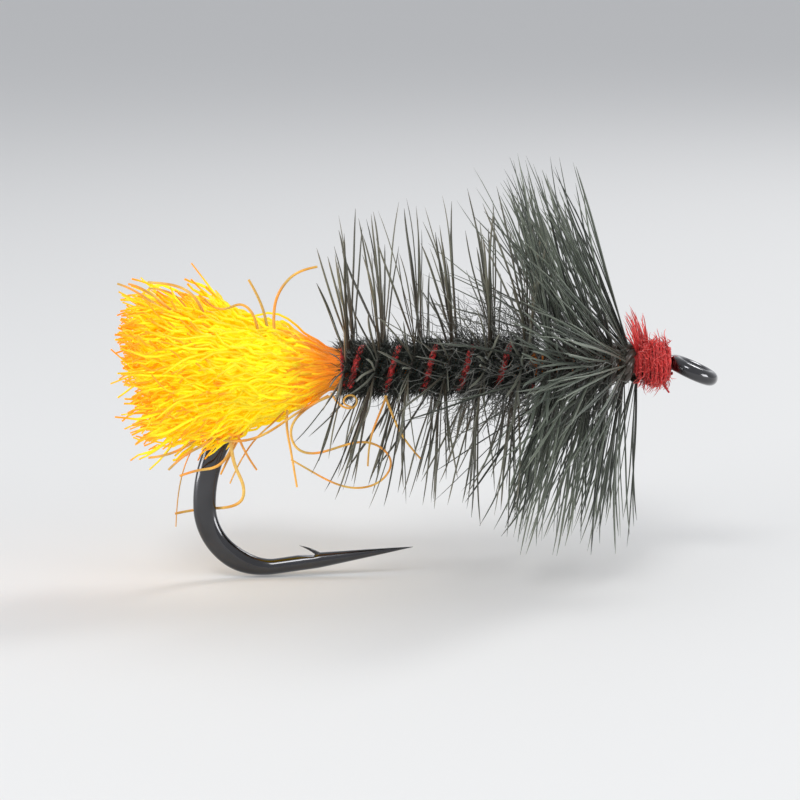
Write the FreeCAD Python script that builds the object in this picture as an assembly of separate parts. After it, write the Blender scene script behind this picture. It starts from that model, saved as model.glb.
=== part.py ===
"""A palmered fishing fly tied on a down-eyed, forged, barbed single hook.

Row frame, in millimetres: the origin is the centre of the hook eye's bore, +X points forward along
the shank, the way the eye faces, +Z points up and away from the hook's point, and +Y is the far side.
Everything is listed in the order in which it is tied: hook, thread base, tail, herl body, rib, body
hackle, collar hackle and head.
"""

import FreeCAD, Part
import math
import os

from FreeCAD import Placement, Rotation, Vector

# Hook: one wire, from the eye to the point
EYE_BORE_RADIUS = 0.42
EYE_WIRE_RADIUS = 0.24
EYE_LAND = 0.16  # length of the coined cylindrical band inside the eye
EYE_TURN_DOWN = 25.0  # degrees that the eye's plane drops below the shank
SHANK_RADIUS = 0.28
NECK_RADIUS = 0.21  # the shank narrows to this where it runs into the eye
NECK_TAPER = 0.24
NECK_OVERLAP = 0.04
BEND_START_X = -11.7
REAR_BEND_RADIUS = 4.52  # the long quarter circle behind the tail
FRONT_BEND_RADIUS = 2.08  # the tighter curve that leads into the spear
SPEAR_RISE = 7.0  # degrees that the spear climbs towards the point
SPEAR_RADIUS = 0.26
SPEAR_LENGTH = 1.35  # from the bend to the barb's root
POINT_LENGTH = 3.25  # from the barb's root to the sharp tip
POINT_TIP_RADIUS = 0.012
FORGED_HALF_HEIGHT = 0.38
FORGED_HALF_THICKNESS = 0.23
FORGED_CORNER = 0.13  # how far the flats stop short of the forged edges
BARB_LENGTH = 0.6
BARB_ANGLE = 33.0
BARB_HALF_THICKNESS = 0.12
BARB_ROOT = 0.2

# Thread and underbody
THREAD_BASE_THICKNESS = 0.05
HEAD_THREAD_WIDTH = 0.1
UNDERBODY_RADIUS = 0.40

# Tail: seven plies of yarn that flare into a brush
TAIL_TIE_FRONT_X = -11.45
TAIL_TIE_REAR_X = -11.95
PLY_ANGLES = (35.0, 80.0, 125.0, 180.0, 235.0, 280.0, 325.0)  # from straight down
PLY_SHARE = 0.265  # a ply's radius over the whole tuft's radius
# distance behind the rear of the tie, radius of the tuft, rise of its centre line
TUFT_STATIONS = ((0.0, 0.74, 0.0), (0.95, 1.2, 0.0), (2.6, 1.77, 0.0), (4.25, 2.35, 0.1),
                 (5.9, 2.65, 0.3), (6.7, 2.45, 0.45))
TAIL_BINDING_THICKNESS = 0.08
CLEARANCE = 0.004  # between strands that lie side by side
STRAY_RADIUS = 0.05

# Body: four peacock herls, the rib and the hackle stem wound side by side, left-handed
BODY_PITCH = 1.22
HERL_COUNT = 4
HERL_RADIUS = 0.14
BODY_REAR_X = -11.3
BODY_FRONT_X = -5.3
RIB_RADIUS = 0.07
RIB_PHASE = -45.0
QUILL_RADIUS = 0.06
QUILL_PHASE = 135.0

# Hackles: barbs stand on a stem that is wound round the body and, closer, behind the head
PALMER_TURNS = 5
PALMER_BARBS = 36
PALMER_BARB_LENGTH = 4.5
PALMER_LEAN = 7.0
TIE_OFF_REAR_X = -5.15
TIE_OFF_FRONT_X = -4.95
COLLAR_REAR_X = -4.86
COLLAR_FRONT_X = -2.07
COLLAR_TURNS = 6
COLLAR_BARBS = 38
COLLAR_BARB_LENGTH = 6.3
COLLAR_QUILL_RADIUS = 0.07
COLLAR_LEAN_REAR = 24.0
COLLAR_LEAN_FRONT = 13.0
BLADE_HALF_WIDTH = 0.055
BLADE_HALF_THICKNESS = 0.035
RANK_SPREAD = 5.0  # degrees between a barb and its neighbour in the other rank

# Head
HEAD_REAR_X = -1.98
HEAD_FRONT_X = -0.8
HEAD_RADIUS = 0.70
HEAD_CREST = 0.55  # where along the head it is thickest
WHIP_WRAPS = 3
BUTT_LENGTH = 0.95
TAG_LENGTH = 0.5

# Worked out from the sizes above
EYE_MAJOR_RADIUS = EYE_BORE_RADIUS + math.sqrt(EYE_WIRE_RADIUS**2 - (EYE_LAND / 2) ** 2)
TURN_DOWN = math.radians(EYE_TURN_DOWN)
SHANK_Z = EYE_MAJOR_RADIUS * math.sin(TURN_DOWN)
NECK_X = -EYE_MAJOR_RADIUS * math.cos(TURN_DOWN)
THREAD_RADIUS = SHANK_RADIUS + THREAD_BASE_THICKNESS
HERL_CENTRE_RADIUS = UNDERBODY_RADIUS + HERL_RADIUS + CLEARANCE
REAR_CENTRE = Vector(BEND_START_X, 0, SHANK_Z - REAR_BEND_RADIUS)
FRONT_CENTRE = Vector(BEND_START_X - REAR_BEND_RADIUS + FRONT_BEND_RADIUS, 0, REAR_CENTRE.z)
SPEAR_ANGLE = math.radians(SPEAR_RISE)
SPEAR_DIRECTION = Vector(math.cos(SPEAR_ANGLE), 0, math.sin(SPEAR_ANGLE))
SPEAR_UP = Vector(-math.sin(SPEAR_ANGLE), 0, math.cos(SPEAR_ANGLE))
SPEAR_START = FRONT_CENTRE - SPEAR_UP * FRONT_BEND_RADIUS
BARB_POINT = SPEAR_START + SPEAR_DIRECTION * SPEAR_LENGTH


def on_shank(shape, x):
    """A shape built along its own +Z, with its base on Z = 0, moved onto the shank's axis at x."""
    shape.Placement = Placement(Vector(x, 0, SHANK_Z), Rotation(Vector(0, 1, 0), 90))
    return shape


def coil(x_rear, x_front, pitch, centre_radius, wire_radius, phase=0.0):
    """A round strand wound left-handed about the shank between two places along it."""
    helix = Part.makeLongHelix(pitch, x_front - x_rear, centre_radius, 0, True)
    along = Vector(0, -2 * math.pi * centre_radius, pitch)
    section = Part.Wire([Part.makeCircle(wire_radius, Vector(centre_radius, 0, 0), along)])
    strand = Part.Wire(helix.Edges).makePipeShell([section], True, True)
    strand.rotate(Vector(0, 0, 0), Vector(0, 0, 1), phase)
    return on_shank(Part.Solid(strand), x_rear)


def wrapped_sleeve(x_rear, x_front, inner_radius, wrap_width, outer_radius_at):
    """Touching thread wraps as one ribbed sleeve: each wrap is a half-round bead on the envelope."""
    count = max(1, round((x_front - x_rear) / wrap_width))
    width = (x_front - x_rear) / count
    edges = []
    start = Vector(outer_radius_at(0.0), 0, 0)
    first = start
    for wrap in range(count):
        middle_radius = outer_radius_at((wrap + 0.5) / count) + width * 0.22
        end = Vector(outer_radius_at((wrap + 1) / count), 0, (wrap + 1) * width)
        crown = Vector(middle_radius, 0, (wrap + 0.5) * width)
        edges.append(Part.Arc(start, crown, end).toShape())
        start = end
    inner_front = Vector(inner_radius, 0, start.z)
    inner_rear = Vector(inner_radius, 0, 0)
    for one, other in ((start, inner_front), (inner_front, inner_rear), (inner_rear, first)):
        edges.append(Part.makeLine(one, other))
    profile = Part.Face(Part.Wire(Part.__sortEdges__(edges)))
    return on_shank(profile.revolve(Vector(0, 0, 0), Vector(0, 0, 1), 360), x_rear)


def plain_sleeve(x_rear, x_front, inner_radius, outer_radius):
    """A smooth layer round the shank."""
    length = x_front - x_rear
    outer = Part.makeCylinder(outer_radius, length)
    return on_shank(outer.cut(Part.makeCylinder(inner_radius, length)), x_rear)


def level(radius):
    """An envelope of one radius all along."""
    return lambda share: radius


# ---------------------------------------------------------------- hook


def bend_place(centre, radius, degrees):
    """A point on a bend, degrees past its start, and the direction out of the bend there."""
    turned = math.radians(degrees)
    outward = Vector(-math.sin(turned), 0, math.cos(turned))
    return centre + outward * radius, outward


def wire_section(place, outward, half_height, half_thickness, corner):
    """A closed section across the wire: round when both halves are equal, else flat-sided."""
    across = Vector(0, 1, 0)
    round_wire = half_height == half_thickness
    side = half_thickness * (math.sqrt(0.5) if round_wire else 1.0)
    shoulder = half_height * math.sqrt(0.5) if round_wire else half_height - corner

    def at(y, h):
        return place + across * y + outward * h

    corners = [at(side, shoulder), at(-side, shoulder), at(-side, -shoulder), at(side, -shoulder)]
    crowns = [at(0, half_height), at(-half_thickness, 0), at(0, -half_height), at(half_thickness, 0)]
    edges = []
    for index in range(4):
        start, end = corners[index], corners[(index + 1) % 4]
        flat = index % 2 == 1 and not round_wire
        edges.append(Part.makeLine(start, end) if flat else Part.Arc(start, crowns[index], end).toShape())
    return Part.Wire(edges)


def forged_section(centre, radius, degrees):
    """The flat-sided section of the forged bend."""
    place, outward = bend_place(centre, radius, degrees)
    return wire_section(place, outward, FORGED_HALF_HEIGHT, FORGED_HALF_THICKNESS, FORGED_CORNER)


def forged_arc(centre, radius, start_degrees, sweep_degrees):
    """A stretch of forged bend with exactly flat flanks."""
    face = Part.Face(forged_section(centre, radius, start_degrees))
    return face.revolve(centre, Vector(0, -1, 0), sweep_degrees)


def run_out(centre, radius, round_degrees, round_radius, forged_degrees, steps=3):
    """The stretch of bend over which round wire turns into forged wire."""
    sections = []
    for step in range(steps + 1):
        share = step / steps
        degrees = round_degrees + (forged_degrees - round_degrees) * share
        place, outward = bend_place(centre, radius, degrees)
        height = round_radius + (FORGED_HALF_HEIGHT - round_radius) * share
        thickness = round_radius + (FORGED_HALF_THICKNESS - round_radius) * share
        if step == 0:
            sections.append(wire_section(place, outward, round_radius, round_radius, 0))
        else:
            side_corner = round_radius * (1 - math.sqrt(0.5)) * (1 - share) + FORGED_CORNER * share
            sections.append(wire_section(place, outward, height, thickness, side_corner))
    return Part.makeLoft(sections, True)


def hook_eye():
    """The eye's ring, turned down, with its coined inner band."""
    ring = Part.makeTorus(EYE_MAJOR_RADIUS, EYE_WIRE_RADIUS)
    bore = Part.makeCylinder(EYE_BORE_RADIUS, 2 * EYE_WIRE_RADIUS, Vector(0, 0, -EYE_WIRE_RADIUS))
    ring = ring.cut(bore)
    ring.rotate(Vector(0, 0, 0), Vector(0, 1, 0), EYE_TURN_DOWN)
    return ring


def hook_barb():
    """The sliver of wire that is raised by the barb cut."""
    lean = math.radians(180.0 - BARB_ANGLE + SPEAR_RISE)
    tip = BARB_POINT + SPEAR_UP * SPEAR_RADIUS + Vector(math.cos(lean), 0, math.sin(lean)) * BARB_LENGTH
    front = BARB_POINT + SPEAR_DIRECTION * BARB_ROOT + SPEAR_UP * SPEAR_RADIUS * 0.9
    rear = BARB_POINT - SPEAR_DIRECTION * BARB_ROOT * 0.2 + SPEAR_UP * SPEAR_RADIUS * 0.7
    half = Vector(0, BARB_HALF_THICKNESS, 0)
    outline = Part.makePolygon([p - half for p in (front, tip, rear, front)])
    return Part.Face(outline).extrude(half * 2)


def barb_cut():
    """The wedge of metal that the barb was lifted from: a shallow ramp behind its root."""
    root = BARB_POINT - SPEAR_DIRECTION * BARB_ROOT * 0.2
    depth = SPEAR_RADIUS * 0.55
    half = Vector(0, SPEAR_RADIUS * 1.5, 0)
    corners = (
        root + SPEAR_UP * depth,
        root + SPEAR_UP * SPEAR_RADIUS * 1.5,
        root - SPEAR_DIRECTION * BARB_LENGTH + SPEAR_UP * SPEAR_RADIUS * 1.5,
        root - SPEAR_DIRECTION * BARB_LENGTH + SPEAR_UP * SPEAR_RADIUS,
    )
    outline = Part.makePolygon([p - half for p in corners + corners[:1]])
    return Part.Face(outline).extrude(half * 2)


def hook():
    """The whole hook as one solid of wire."""
    rear_round, rear_forged = 12.0, 42.0
    front_forged, front_round = 50.0, 90.0 + SPEAR_RISE
    neck_start = Vector(NECK_X + NECK_OVERLAP - NECK_TAPER, 0, SHANK_Z)
    shank = Part.makeCylinder(
        SHANK_RADIUS, neck_start.x - BEND_START_X, Vector(BEND_START_X, 0, SHANK_Z), Vector(1, 0, 0)
    )
    neck = Part.makeCone(SHANK_RADIUS, NECK_RADIUS, NECK_TAPER, neck_start, Vector(1, 0, 0))
    start, outward = bend_place(REAR_CENTRE, REAR_BEND_RADIUS, 0)
    round_start = Part.Face(wire_section(start, outward, SHANK_RADIUS, SHANK_RADIUS, 0))
    round_arc = round_start.revolve(REAR_CENTRE, Vector(0, -1, 0), rear_round)
    rear_run_out = run_out(REAR_CENTRE, REAR_BEND_RADIUS, rear_round, SHANK_RADIUS, rear_forged)
    rear_arc = forged_arc(REAR_CENTRE, REAR_BEND_RADIUS, rear_forged, 90.0 - rear_forged)
    front_arc = forged_arc(FRONT_CENTRE, FRONT_BEND_RADIUS, 90.0, front_forged)
    front_run_out = run_out(
        FRONT_CENTRE, FRONT_BEND_RADIUS, 90.0 + front_round, SPEAR_RADIUS, 90.0 + front_forged
    )
    spear = Part.makeCylinder(SPEAR_RADIUS, SPEAR_LENGTH, SPEAR_START, SPEAR_DIRECTION)
    point = Part.makeCone(SPEAR_RADIUS, POINT_TIP_RADIUS, POINT_LENGTH, BARB_POINT, SPEAR_DIRECTION)
    spear = spear.fuse(point).cut(barb_cut())
    pieces = [shank, neck, round_arc, rear_run_out, rear_arc, front_arc, front_run_out, spear, hook_barb()]
    return hook_eye().multiFuse(pieces)


# ---------------------------------------------------------------- tail


def ply_disc(behind, tuft_radius, rise, angle):
    """One cross-section of a ply, a given distance behind the rear of the tail's tie."""
    turned = math.radians(angle)
    ply_radius = tuft_radius * PLY_SHARE
    reach = tuft_radius - ply_radius
    centre = Vector(TAIL_TIE_REAR_X - behind, reach * math.sin(turned),
                    SHANK_Z + rise - reach * math.cos(turned))
    return Part.Wire([Part.makeCircle(ply_radius, centre, Vector(-1, 0, 0))])


def tail_ply(angle):
    """One ply of tail yarn: straight under its binding, then flaring with the tuft."""
    tie_radius = TUFT_STATIONS[0][1]
    sections = [ply_disc(TAIL_TIE_REAR_X - TAIL_TIE_FRONT_X, tie_radius, 0.0, angle)]
    sections += [ply_disc(*station, angle) for station in TUFT_STATIONS]
    return Part.makeLoft(sections, True)


def rounded_route(points, radius):
    """A tube along straight runs joined by tangent arcs, each as large as its two runs allow."""
    edges = []
    start = points[0]
    for before, corner, after in zip(points, points[1:], points[2:]):
        back, ahead = (before - corner), (after - corner)
        half_turn = (math.pi - back.getAngle(ahead)) / 2
        cut_back = 0.45 * min(back.Length, ahead.Length)
        back.normalize()
        ahead.normalize()
        entry, leave = corner + back * cut_back, corner + ahead * cut_back
        bisector = (back + ahead).normalize()
        bend_radius = cut_back / math.tan(half_turn)
        crown = corner + bisector * (bend_radius / math.cos(half_turn) - bend_radius)
        edges.append(Part.makeLine(start, entry))
        edges.append(Part.Arc(entry, crown, leave).toShape())
        start = leave
    edges.append(Part.makeLine(start, points[-1]))
    section = Part.Wire([Part.makeCircle(radius, points[0], points[1] - points[0])])
    return Part.Solid(Part.Wire(edges).makePipeShell([section], True, False))


# Loose fibres of the tail yarn that hang and curl clear of the tuft
STRAY_ROUTES = {
    "hanging_loop": ((-13.0, -0.65, -0.88), (-13.2, -1.0, -1.9), (-12.8, -1.2, -2.3), (-12.2, -1.1, -2.3),
                     (-11.6, -1.0, -2.1), (-10.9, -0.9, -2.0), (-10.3, -0.9, -2.2), (-9.95, -0.9, -2.7),
                     (-10.2, -1.0, -3.2), (-10.8, -1.1, -3.45), (-11.5, -1.2, -3.45), (-12.2, -1.3, -3.15),
                     (-12.9, -1.4, -2.65)),
    "bright_arch": ((-13.7, -0.6, 1.24), (-13.75, -0.6, 1.9), (-13.6, -0.7, 2.8), (-13.2, -0.8, 3.4),
                    (-12.3, -0.9, 3.8)),
    "low_hook": ((-15.2, -0.85, -1.5), (-15.15, -1.0, -2.7), (-14.9, -1.0, -3.2), (-14.85, -0.9, -3.7),
                 (-15.3, -0.7, -3.98), (-15.9, 0.5, -4.05), (-16.6, 0.6, -4.1), (-17.2, 0.5, -4.3)),
    "left_curl": ((-15.75, -1.0, 1.86), (-16.0, -1.1, 2.5), (-16.4, -1.1, 3.1), (-16.95, -1.1, 3.35),
                  (-17.7, -1.0, 3.4)),
}


def loose_strands():
    """All the loose fibres, as separate solids."""
    routes = [[Vector(*point) for point in route] for route in STRAY_ROUTES.values()]
    return Part.makeCompound([rounded_route(route, STRAY_RADIUS) for route in routes])


# ---------------------------------------------------------------- hackles


def blade(root, direction, across, half_width, half_thickness, length):
    """One barb: a slim four-sided blade that runs out to a sharp tip."""
    thick = direction.cross(across).normalize() * half_thickness
    wide = Vector(across).normalize() * half_width
    corners = [root + wide, root + thick, root - wide, root - thick]
    tip = root + direction * length
    faces = [Part.Face(Part.makePolygon([a, b, tip, a])) for a, b in zip(corners, corners[1:] + corners[:1])]
    faces.append(Part.Face(Part.makePolygon(corners + corners[:1])))
    solid = Part.Solid(Part.makeShell(faces))
    return solid if solid.Volume > 0 else Part.Solid(solid.reversed())


def hackle_turn(x_rear, pitch, centre_radius, stem_radius, phase, barbs, length, lean):
    """One turn of a hackle feather: its stem and the two ranks of barbs that stand on it."""
    stem = coil(0.0, pitch, pitch, centre_radius, stem_radius)
    stem.Placement = Placement()
    spines = []
    for index in range(barbs):
        share = (index + 0.5) / barbs
        around = -2 * math.pi * share
        back = math.radians(lean + (RANK_SPREAD if index % 2 else -RANK_SPREAD) / 2)
        root = Vector(centre_radius * math.cos(around), centre_radius * math.sin(around), pitch * share)
        outward = Vector(math.cos(around), math.sin(around), 0)
        direction = outward * math.cos(back) - Vector(0, 0, math.sin(back))
        across = Vector(-math.sin(around), math.cos(around), 0)
        spines.append(blade(root, direction, across, BLADE_HALF_WIDTH, BLADE_HALF_THICKNESS, length))
    turn = stem.multiFuse(spines)
    turn.rotate(Vector(0, 0, 0), Vector(0, 0, 1), phase)
    return on_shank(Part.makeCompound(turn.Solids), x_rear)


def palmer_turns():
    """The body hackle, an open spiral in a groove between two herls."""
    half_gap = BODY_PITCH / HERL_COUNT / 2
    lead = math.cos(math.atan(BODY_PITCH / (2 * math.pi * (UNDERBODY_RADIUS + 2 * HERL_RADIUS))))
    rise = math.sqrt((HERL_RADIUS + QUILL_RADIUS + CLEARANCE) ** 2 - (half_gap * lead) ** 2)
    radius = HERL_CENTRE_RADIUS + rise
    return {
        f"palmer_hackle_turn_{turn + 1}": hackle_turn(
            BODY_REAR_X + turn * BODY_PITCH, BODY_PITCH, radius, QUILL_RADIUS, QUILL_PHASE,
            PALMER_BARBS, PALMER_BARB_LENGTH, PALMER_LEAN)
        for turn in range(PALMER_TURNS)
    }


def collar_turns():
    """The longer collar hackle, closely wound behind the head and swept back."""
    pitch = (COLLAR_FRONT_X - COLLAR_REAR_X) / COLLAR_TURNS
    radius = UNDERBODY_RADIUS + COLLAR_QUILL_RADIUS + CLEARANCE
    turns = {}
    for turn in range(COLLAR_TURNS):
        share = turn / (COLLAR_TURNS - 1)
        lean = COLLAR_LEAN_REAR + (COLLAR_LEAN_FRONT - COLLAR_LEAN_REAR) * share
        turns[f"collar_hackle_turn_{turn + 1}"] = hackle_turn(
            COLLAR_REAR_X + turn * pitch, pitch, radius, COLLAR_QUILL_RADIUS, 0.0,
            COLLAR_BARBS, COLLAR_BARB_LENGTH, lean)
    return turns


# ---------------------------------------------------------------- body, rib and head


def rib():
    """The red floss rib, wound in the groove on the other side of the body from the hackle stem."""
    half_gap = BODY_PITCH / HERL_COUNT / 2
    lead = math.cos(math.atan(BODY_PITCH / (2 * math.pi * (UNDERBODY_RADIUS + 2 * HERL_RADIUS))))
    rise = math.sqrt((HERL_RADIUS + RIB_RADIUS + CLEARANCE) ** 2 - (half_gap * lead) ** 2)
    return coil(BODY_REAR_X, BODY_FRONT_X, BODY_PITCH, HERL_CENTRE_RADIUS + rise, RIB_RADIUS, RIB_PHASE)


def head_radius_at(share):
    """The head's envelope, a teardrop that is thickest part of the way along."""
    if share < HEAD_CREST:
        swell = math.sin(share / HEAD_CREST * math.pi / 2)
        return UNDERBODY_RADIUS + (HEAD_RADIUS - UNDERBODY_RADIUS) * swell
    fall = math.cos((share - HEAD_CREST) / (1 - HEAD_CREST) * math.pi / 2)
    return THREAD_RADIUS + 0.05 + (HEAD_RADIUS - THREAD_RADIUS - 0.05) * fall


def quill_butt():
    """The trimmed butt of the collar feather's stem, lying on the thread base inside the head."""
    return Part.makeCylinder(
        COLLAR_QUILL_RADIUS, BUTT_LENGTH,
        Vector(HEAD_REAR_X, 0, SHANK_Z + THREAD_RADIUS + COLLAR_QUILL_RADIUS + CLEARANCE), Vector(1, 0, 0))


def floss_end():
    """The trimmed end of the rib floss, standing up between the collar and the head."""
    foot = Vector(HEAD_REAR_X + 0.3, 0, SHANK_Z + HEAD_RADIUS)
    return Part.makeCone(0.14, 0.05, 0.85, foot, Vector(-0.35, 0, 1))


def thread_tag():
    """The cut end of the tying thread, pulled out from under the whip finish."""
    foot = Vector(HEAD_FRONT_X - 0.25, -0.1, SHANK_Z - THREAD_RADIUS - 0.18)
    return Part.makeCylinder(0.04, TAG_LENGTH, foot, Vector(0.5, -0.2, -1))


def build():
    """Every sub-part, by the name of its node."""
    whip_width = HEAD_THREAD_WIDTH * WHIP_WRAPS
    whip_radius = THREAD_RADIUS + 0.05
    head_end = HEAD_FRONT_X - whip_width
    butt = quill_butt()
    parts = {
        "hook": hook(),
        "thread_base": plain_sleeve(BEND_START_X, HEAD_FRONT_X, SHANK_RADIUS, THREAD_RADIUS - CLEARANCE),
        "tail_yarn_butt": plain_sleeve(TAIL_TIE_FRONT_X, HEAD_REAR_X, THREAD_RADIUS + 0.01, UNDERBODY_RADIUS),
        "tail_binding": wrapped_sleeve(
            TAIL_TIE_REAR_X, TAIL_TIE_FRONT_X, TUFT_STATIONS[0][1], HEAD_THREAD_WIDTH,
            level(TUFT_STATIONS[0][1] + TAIL_BINDING_THICKNESS)),
        "loose_tail_strands": loose_strands(),
        "rib_floss": rib(),
        "body_tie_off": wrapped_sleeve(
            TIE_OFF_REAR_X, TIE_OFF_FRONT_X, UNDERBODY_RADIUS, HEAD_THREAD_WIDTH,
            level(UNDERBODY_RADIUS + 0.12)),
        "collar_quill_butt": butt,
        "thread_head": wrapped_sleeve(
            HEAD_REAR_X, head_end, THREAD_RADIUS, HEAD_THREAD_WIDTH, head_radius_at).cut(butt),
        "whip_finish": wrapped_sleeve(
            head_end, HEAD_FRONT_X, THREAD_RADIUS, HEAD_THREAD_WIDTH, level(whip_radius)),
        "rib_floss_end": floss_end(),
        "thread_tag": thread_tag(),
    }
    for number, angle in enumerate(PLY_ANGLES, 1):
        parts[f"tail_ply_{number}"] = tail_ply(angle)
    for number in range(HERL_COUNT):
        parts[f"body_herl_{number + 1}"] = coil(
            BODY_REAR_X, BODY_FRONT_X, BODY_PITCH, HERL_CENTRE_RADIUS, HERL_RADIUS,
            number * 360.0 / HERL_COUNT)
    parts.update(palmer_turns())
    parts.update(collar_turns())
    return parts


def main():
    """Builds the fly and writes one STEP file for each sub-part."""
    os.makedirs("parts", exist_ok=True)
    for name, shape in build().items():
        print(f"{name}: {len(shape.Solids)} solids, {shape.Volume:.4f} mm3, valid {shape.isValid()}")
        shape.exportStep(f"parts/{name}.step")


main()
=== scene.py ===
"""A palmered fishing fly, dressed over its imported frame.

The fly is a forged, down-eyed hook with a teased yarn tail, a herl body ribbed with red floss, a body
hackle, a fuller collar hackle and a thread head. Lengths are in millimetres unless said otherwise, and MM
turns them into metres. X runs forward along the shank, Z up and Y away. Angles round the shank start
straight down and turn towards +Y, and everything is wound left-handed.
"""

import logging
import math
from dataclasses import asdict, dataclass, fields
from enum import Enum, IntEnum
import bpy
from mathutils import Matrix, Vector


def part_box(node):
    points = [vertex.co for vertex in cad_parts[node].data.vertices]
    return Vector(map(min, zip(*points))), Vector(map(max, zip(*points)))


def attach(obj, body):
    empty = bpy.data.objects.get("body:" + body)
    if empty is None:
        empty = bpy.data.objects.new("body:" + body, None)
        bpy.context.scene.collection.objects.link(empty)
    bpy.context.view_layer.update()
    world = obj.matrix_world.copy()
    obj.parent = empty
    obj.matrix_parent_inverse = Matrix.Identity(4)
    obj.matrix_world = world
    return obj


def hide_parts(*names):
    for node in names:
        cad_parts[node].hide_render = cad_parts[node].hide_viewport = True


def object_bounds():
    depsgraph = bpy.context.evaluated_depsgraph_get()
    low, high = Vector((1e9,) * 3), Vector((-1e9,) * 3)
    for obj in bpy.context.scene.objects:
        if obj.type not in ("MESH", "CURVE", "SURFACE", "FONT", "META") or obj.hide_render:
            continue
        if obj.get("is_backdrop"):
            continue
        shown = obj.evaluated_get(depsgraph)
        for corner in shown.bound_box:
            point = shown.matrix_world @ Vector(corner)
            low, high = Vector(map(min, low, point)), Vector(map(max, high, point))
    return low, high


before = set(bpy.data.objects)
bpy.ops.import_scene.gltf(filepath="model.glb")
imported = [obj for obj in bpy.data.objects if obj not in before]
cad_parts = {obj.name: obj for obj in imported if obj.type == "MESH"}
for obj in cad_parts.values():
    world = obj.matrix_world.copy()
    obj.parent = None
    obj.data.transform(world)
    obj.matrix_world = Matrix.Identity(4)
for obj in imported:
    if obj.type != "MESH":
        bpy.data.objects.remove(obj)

from types import SimpleNamespace
from typing import ClassVar, Iterable, Sequence, Union

import bmesh
import bpy
from mathutils import Vector

MM = 0.001
TAU = 2 * math.pi
ROOT = "root"
LOG = logging.getLogger("fly")

Value = Union["Field", float, int, str, bpy.types.ID, bpy.types.NodeSocket]
Colour = tuple[float, float, float]
Spot = tuple[float, float, float]
Route = tuple[Spot, ...]


# ---------------------------------------------------------------- node trees


class Field:
    """A number inside a node tree. Adding or multiplying fields adds Math nodes to that tree."""

    def __init__(self, graph: "Graph", socket: bpy.types.NodeSocket) -> None:
        """Keeps the tree and the socket that the number comes out of."""
        self.graph = graph
        self.socket = socket

    def __add__(self, other: Value) -> "Field":
        """The sum of two numbers."""
        return self.graph.math("ADD", self, other)

    def __sub__(self, other: Value) -> "Field":
        """The first number less the second."""
        return self.graph.math("SUBTRACT", self, other)

    def __rsub__(self, other: Value) -> "Field":
        """A plain number less this one."""
        return self.graph.math("SUBTRACT", other, self)

    def __mul__(self, other: Value) -> "Field":
        """The product of two numbers."""
        return self.graph.math("MULTIPLY", self, other)

    def __truediv__(self, other: Value) -> "Field":
        """The first number over the second."""
        return self.graph.math("DIVIDE", self, other)

    def __pow__(self, other: Value) -> "Field":
        """The first number raised to the second."""
        return self.graph.math("POWER", self, other)

    __radd__ = __add__
    __rmul__ = __mul__


class Graph:
    """A node tree under construction, for geometry or for a material."""

    def __init__(self, tree: bpy.types.NodeTree) -> None:
        """Starts on a tree that has no nodes yet."""
        self.tree = tree
        self.tree.nodes.clear()

    def feed(self, socket: bpy.types.NodeSocket, value: Value) -> None:
        """Links a field or a socket to an input, or sets the input to a plain value."""
        if isinstance(value, Field):
            self.tree.links.new(value.socket, socket)
        elif isinstance(value, bpy.types.NodeSocket):
            self.tree.links.new(value, socket)
        else:
            socket.default_value = value

    def node(self, kind: str, inputs: dict[str | int, Value] | None = None,
             **settings: object) -> bpy.types.Node:
        """Adds a node.

        Args:
            kind: the node's type.
            inputs: values and links for its inputs, by name or by place.
            **settings: the node's own properties.

        Returns:
            The new node.
        """
        node = self.tree.nodes.new(kind)
        for name, value in settings.items():
            setattr(node, name, value)
        for key, value in (inputs or {}).items():
            self.feed(node.inputs[key], value)
        return node

    def math(self, operation: str, *terms: Value) -> Field:
        """The result of one Math operation on one, two or three numbers."""
        node = self.node("ShaderNodeMath", dict(enumerate(terms)), operation=operation)
        return Field(self, node.outputs[0])

    def sin(self, angle: Value) -> Field:
        """The sine of an angle in radians."""
        return self.math("SINE", angle)

    def cos(self, angle: Value) -> Field:
        """The cosine of an angle in radians."""
        return self.math("COSINE", angle)

    def noise(self, along: Value, across: Value) -> Field:
        """Smooth noise between about -1 and 1 at a place given by two numbers."""
        place = self.node("ShaderNodeCombineXYZ", {0: along, 1: across})
        inputs = {"Vector": place.outputs[0], "Scale": 1.0, "Detail": 0.0}
        node = self.node("ShaderNodeTexNoise", inputs, noise_dimensions="2D")
        return (Field(self, node.outputs[0]) - 0.5) * 2.0


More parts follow.
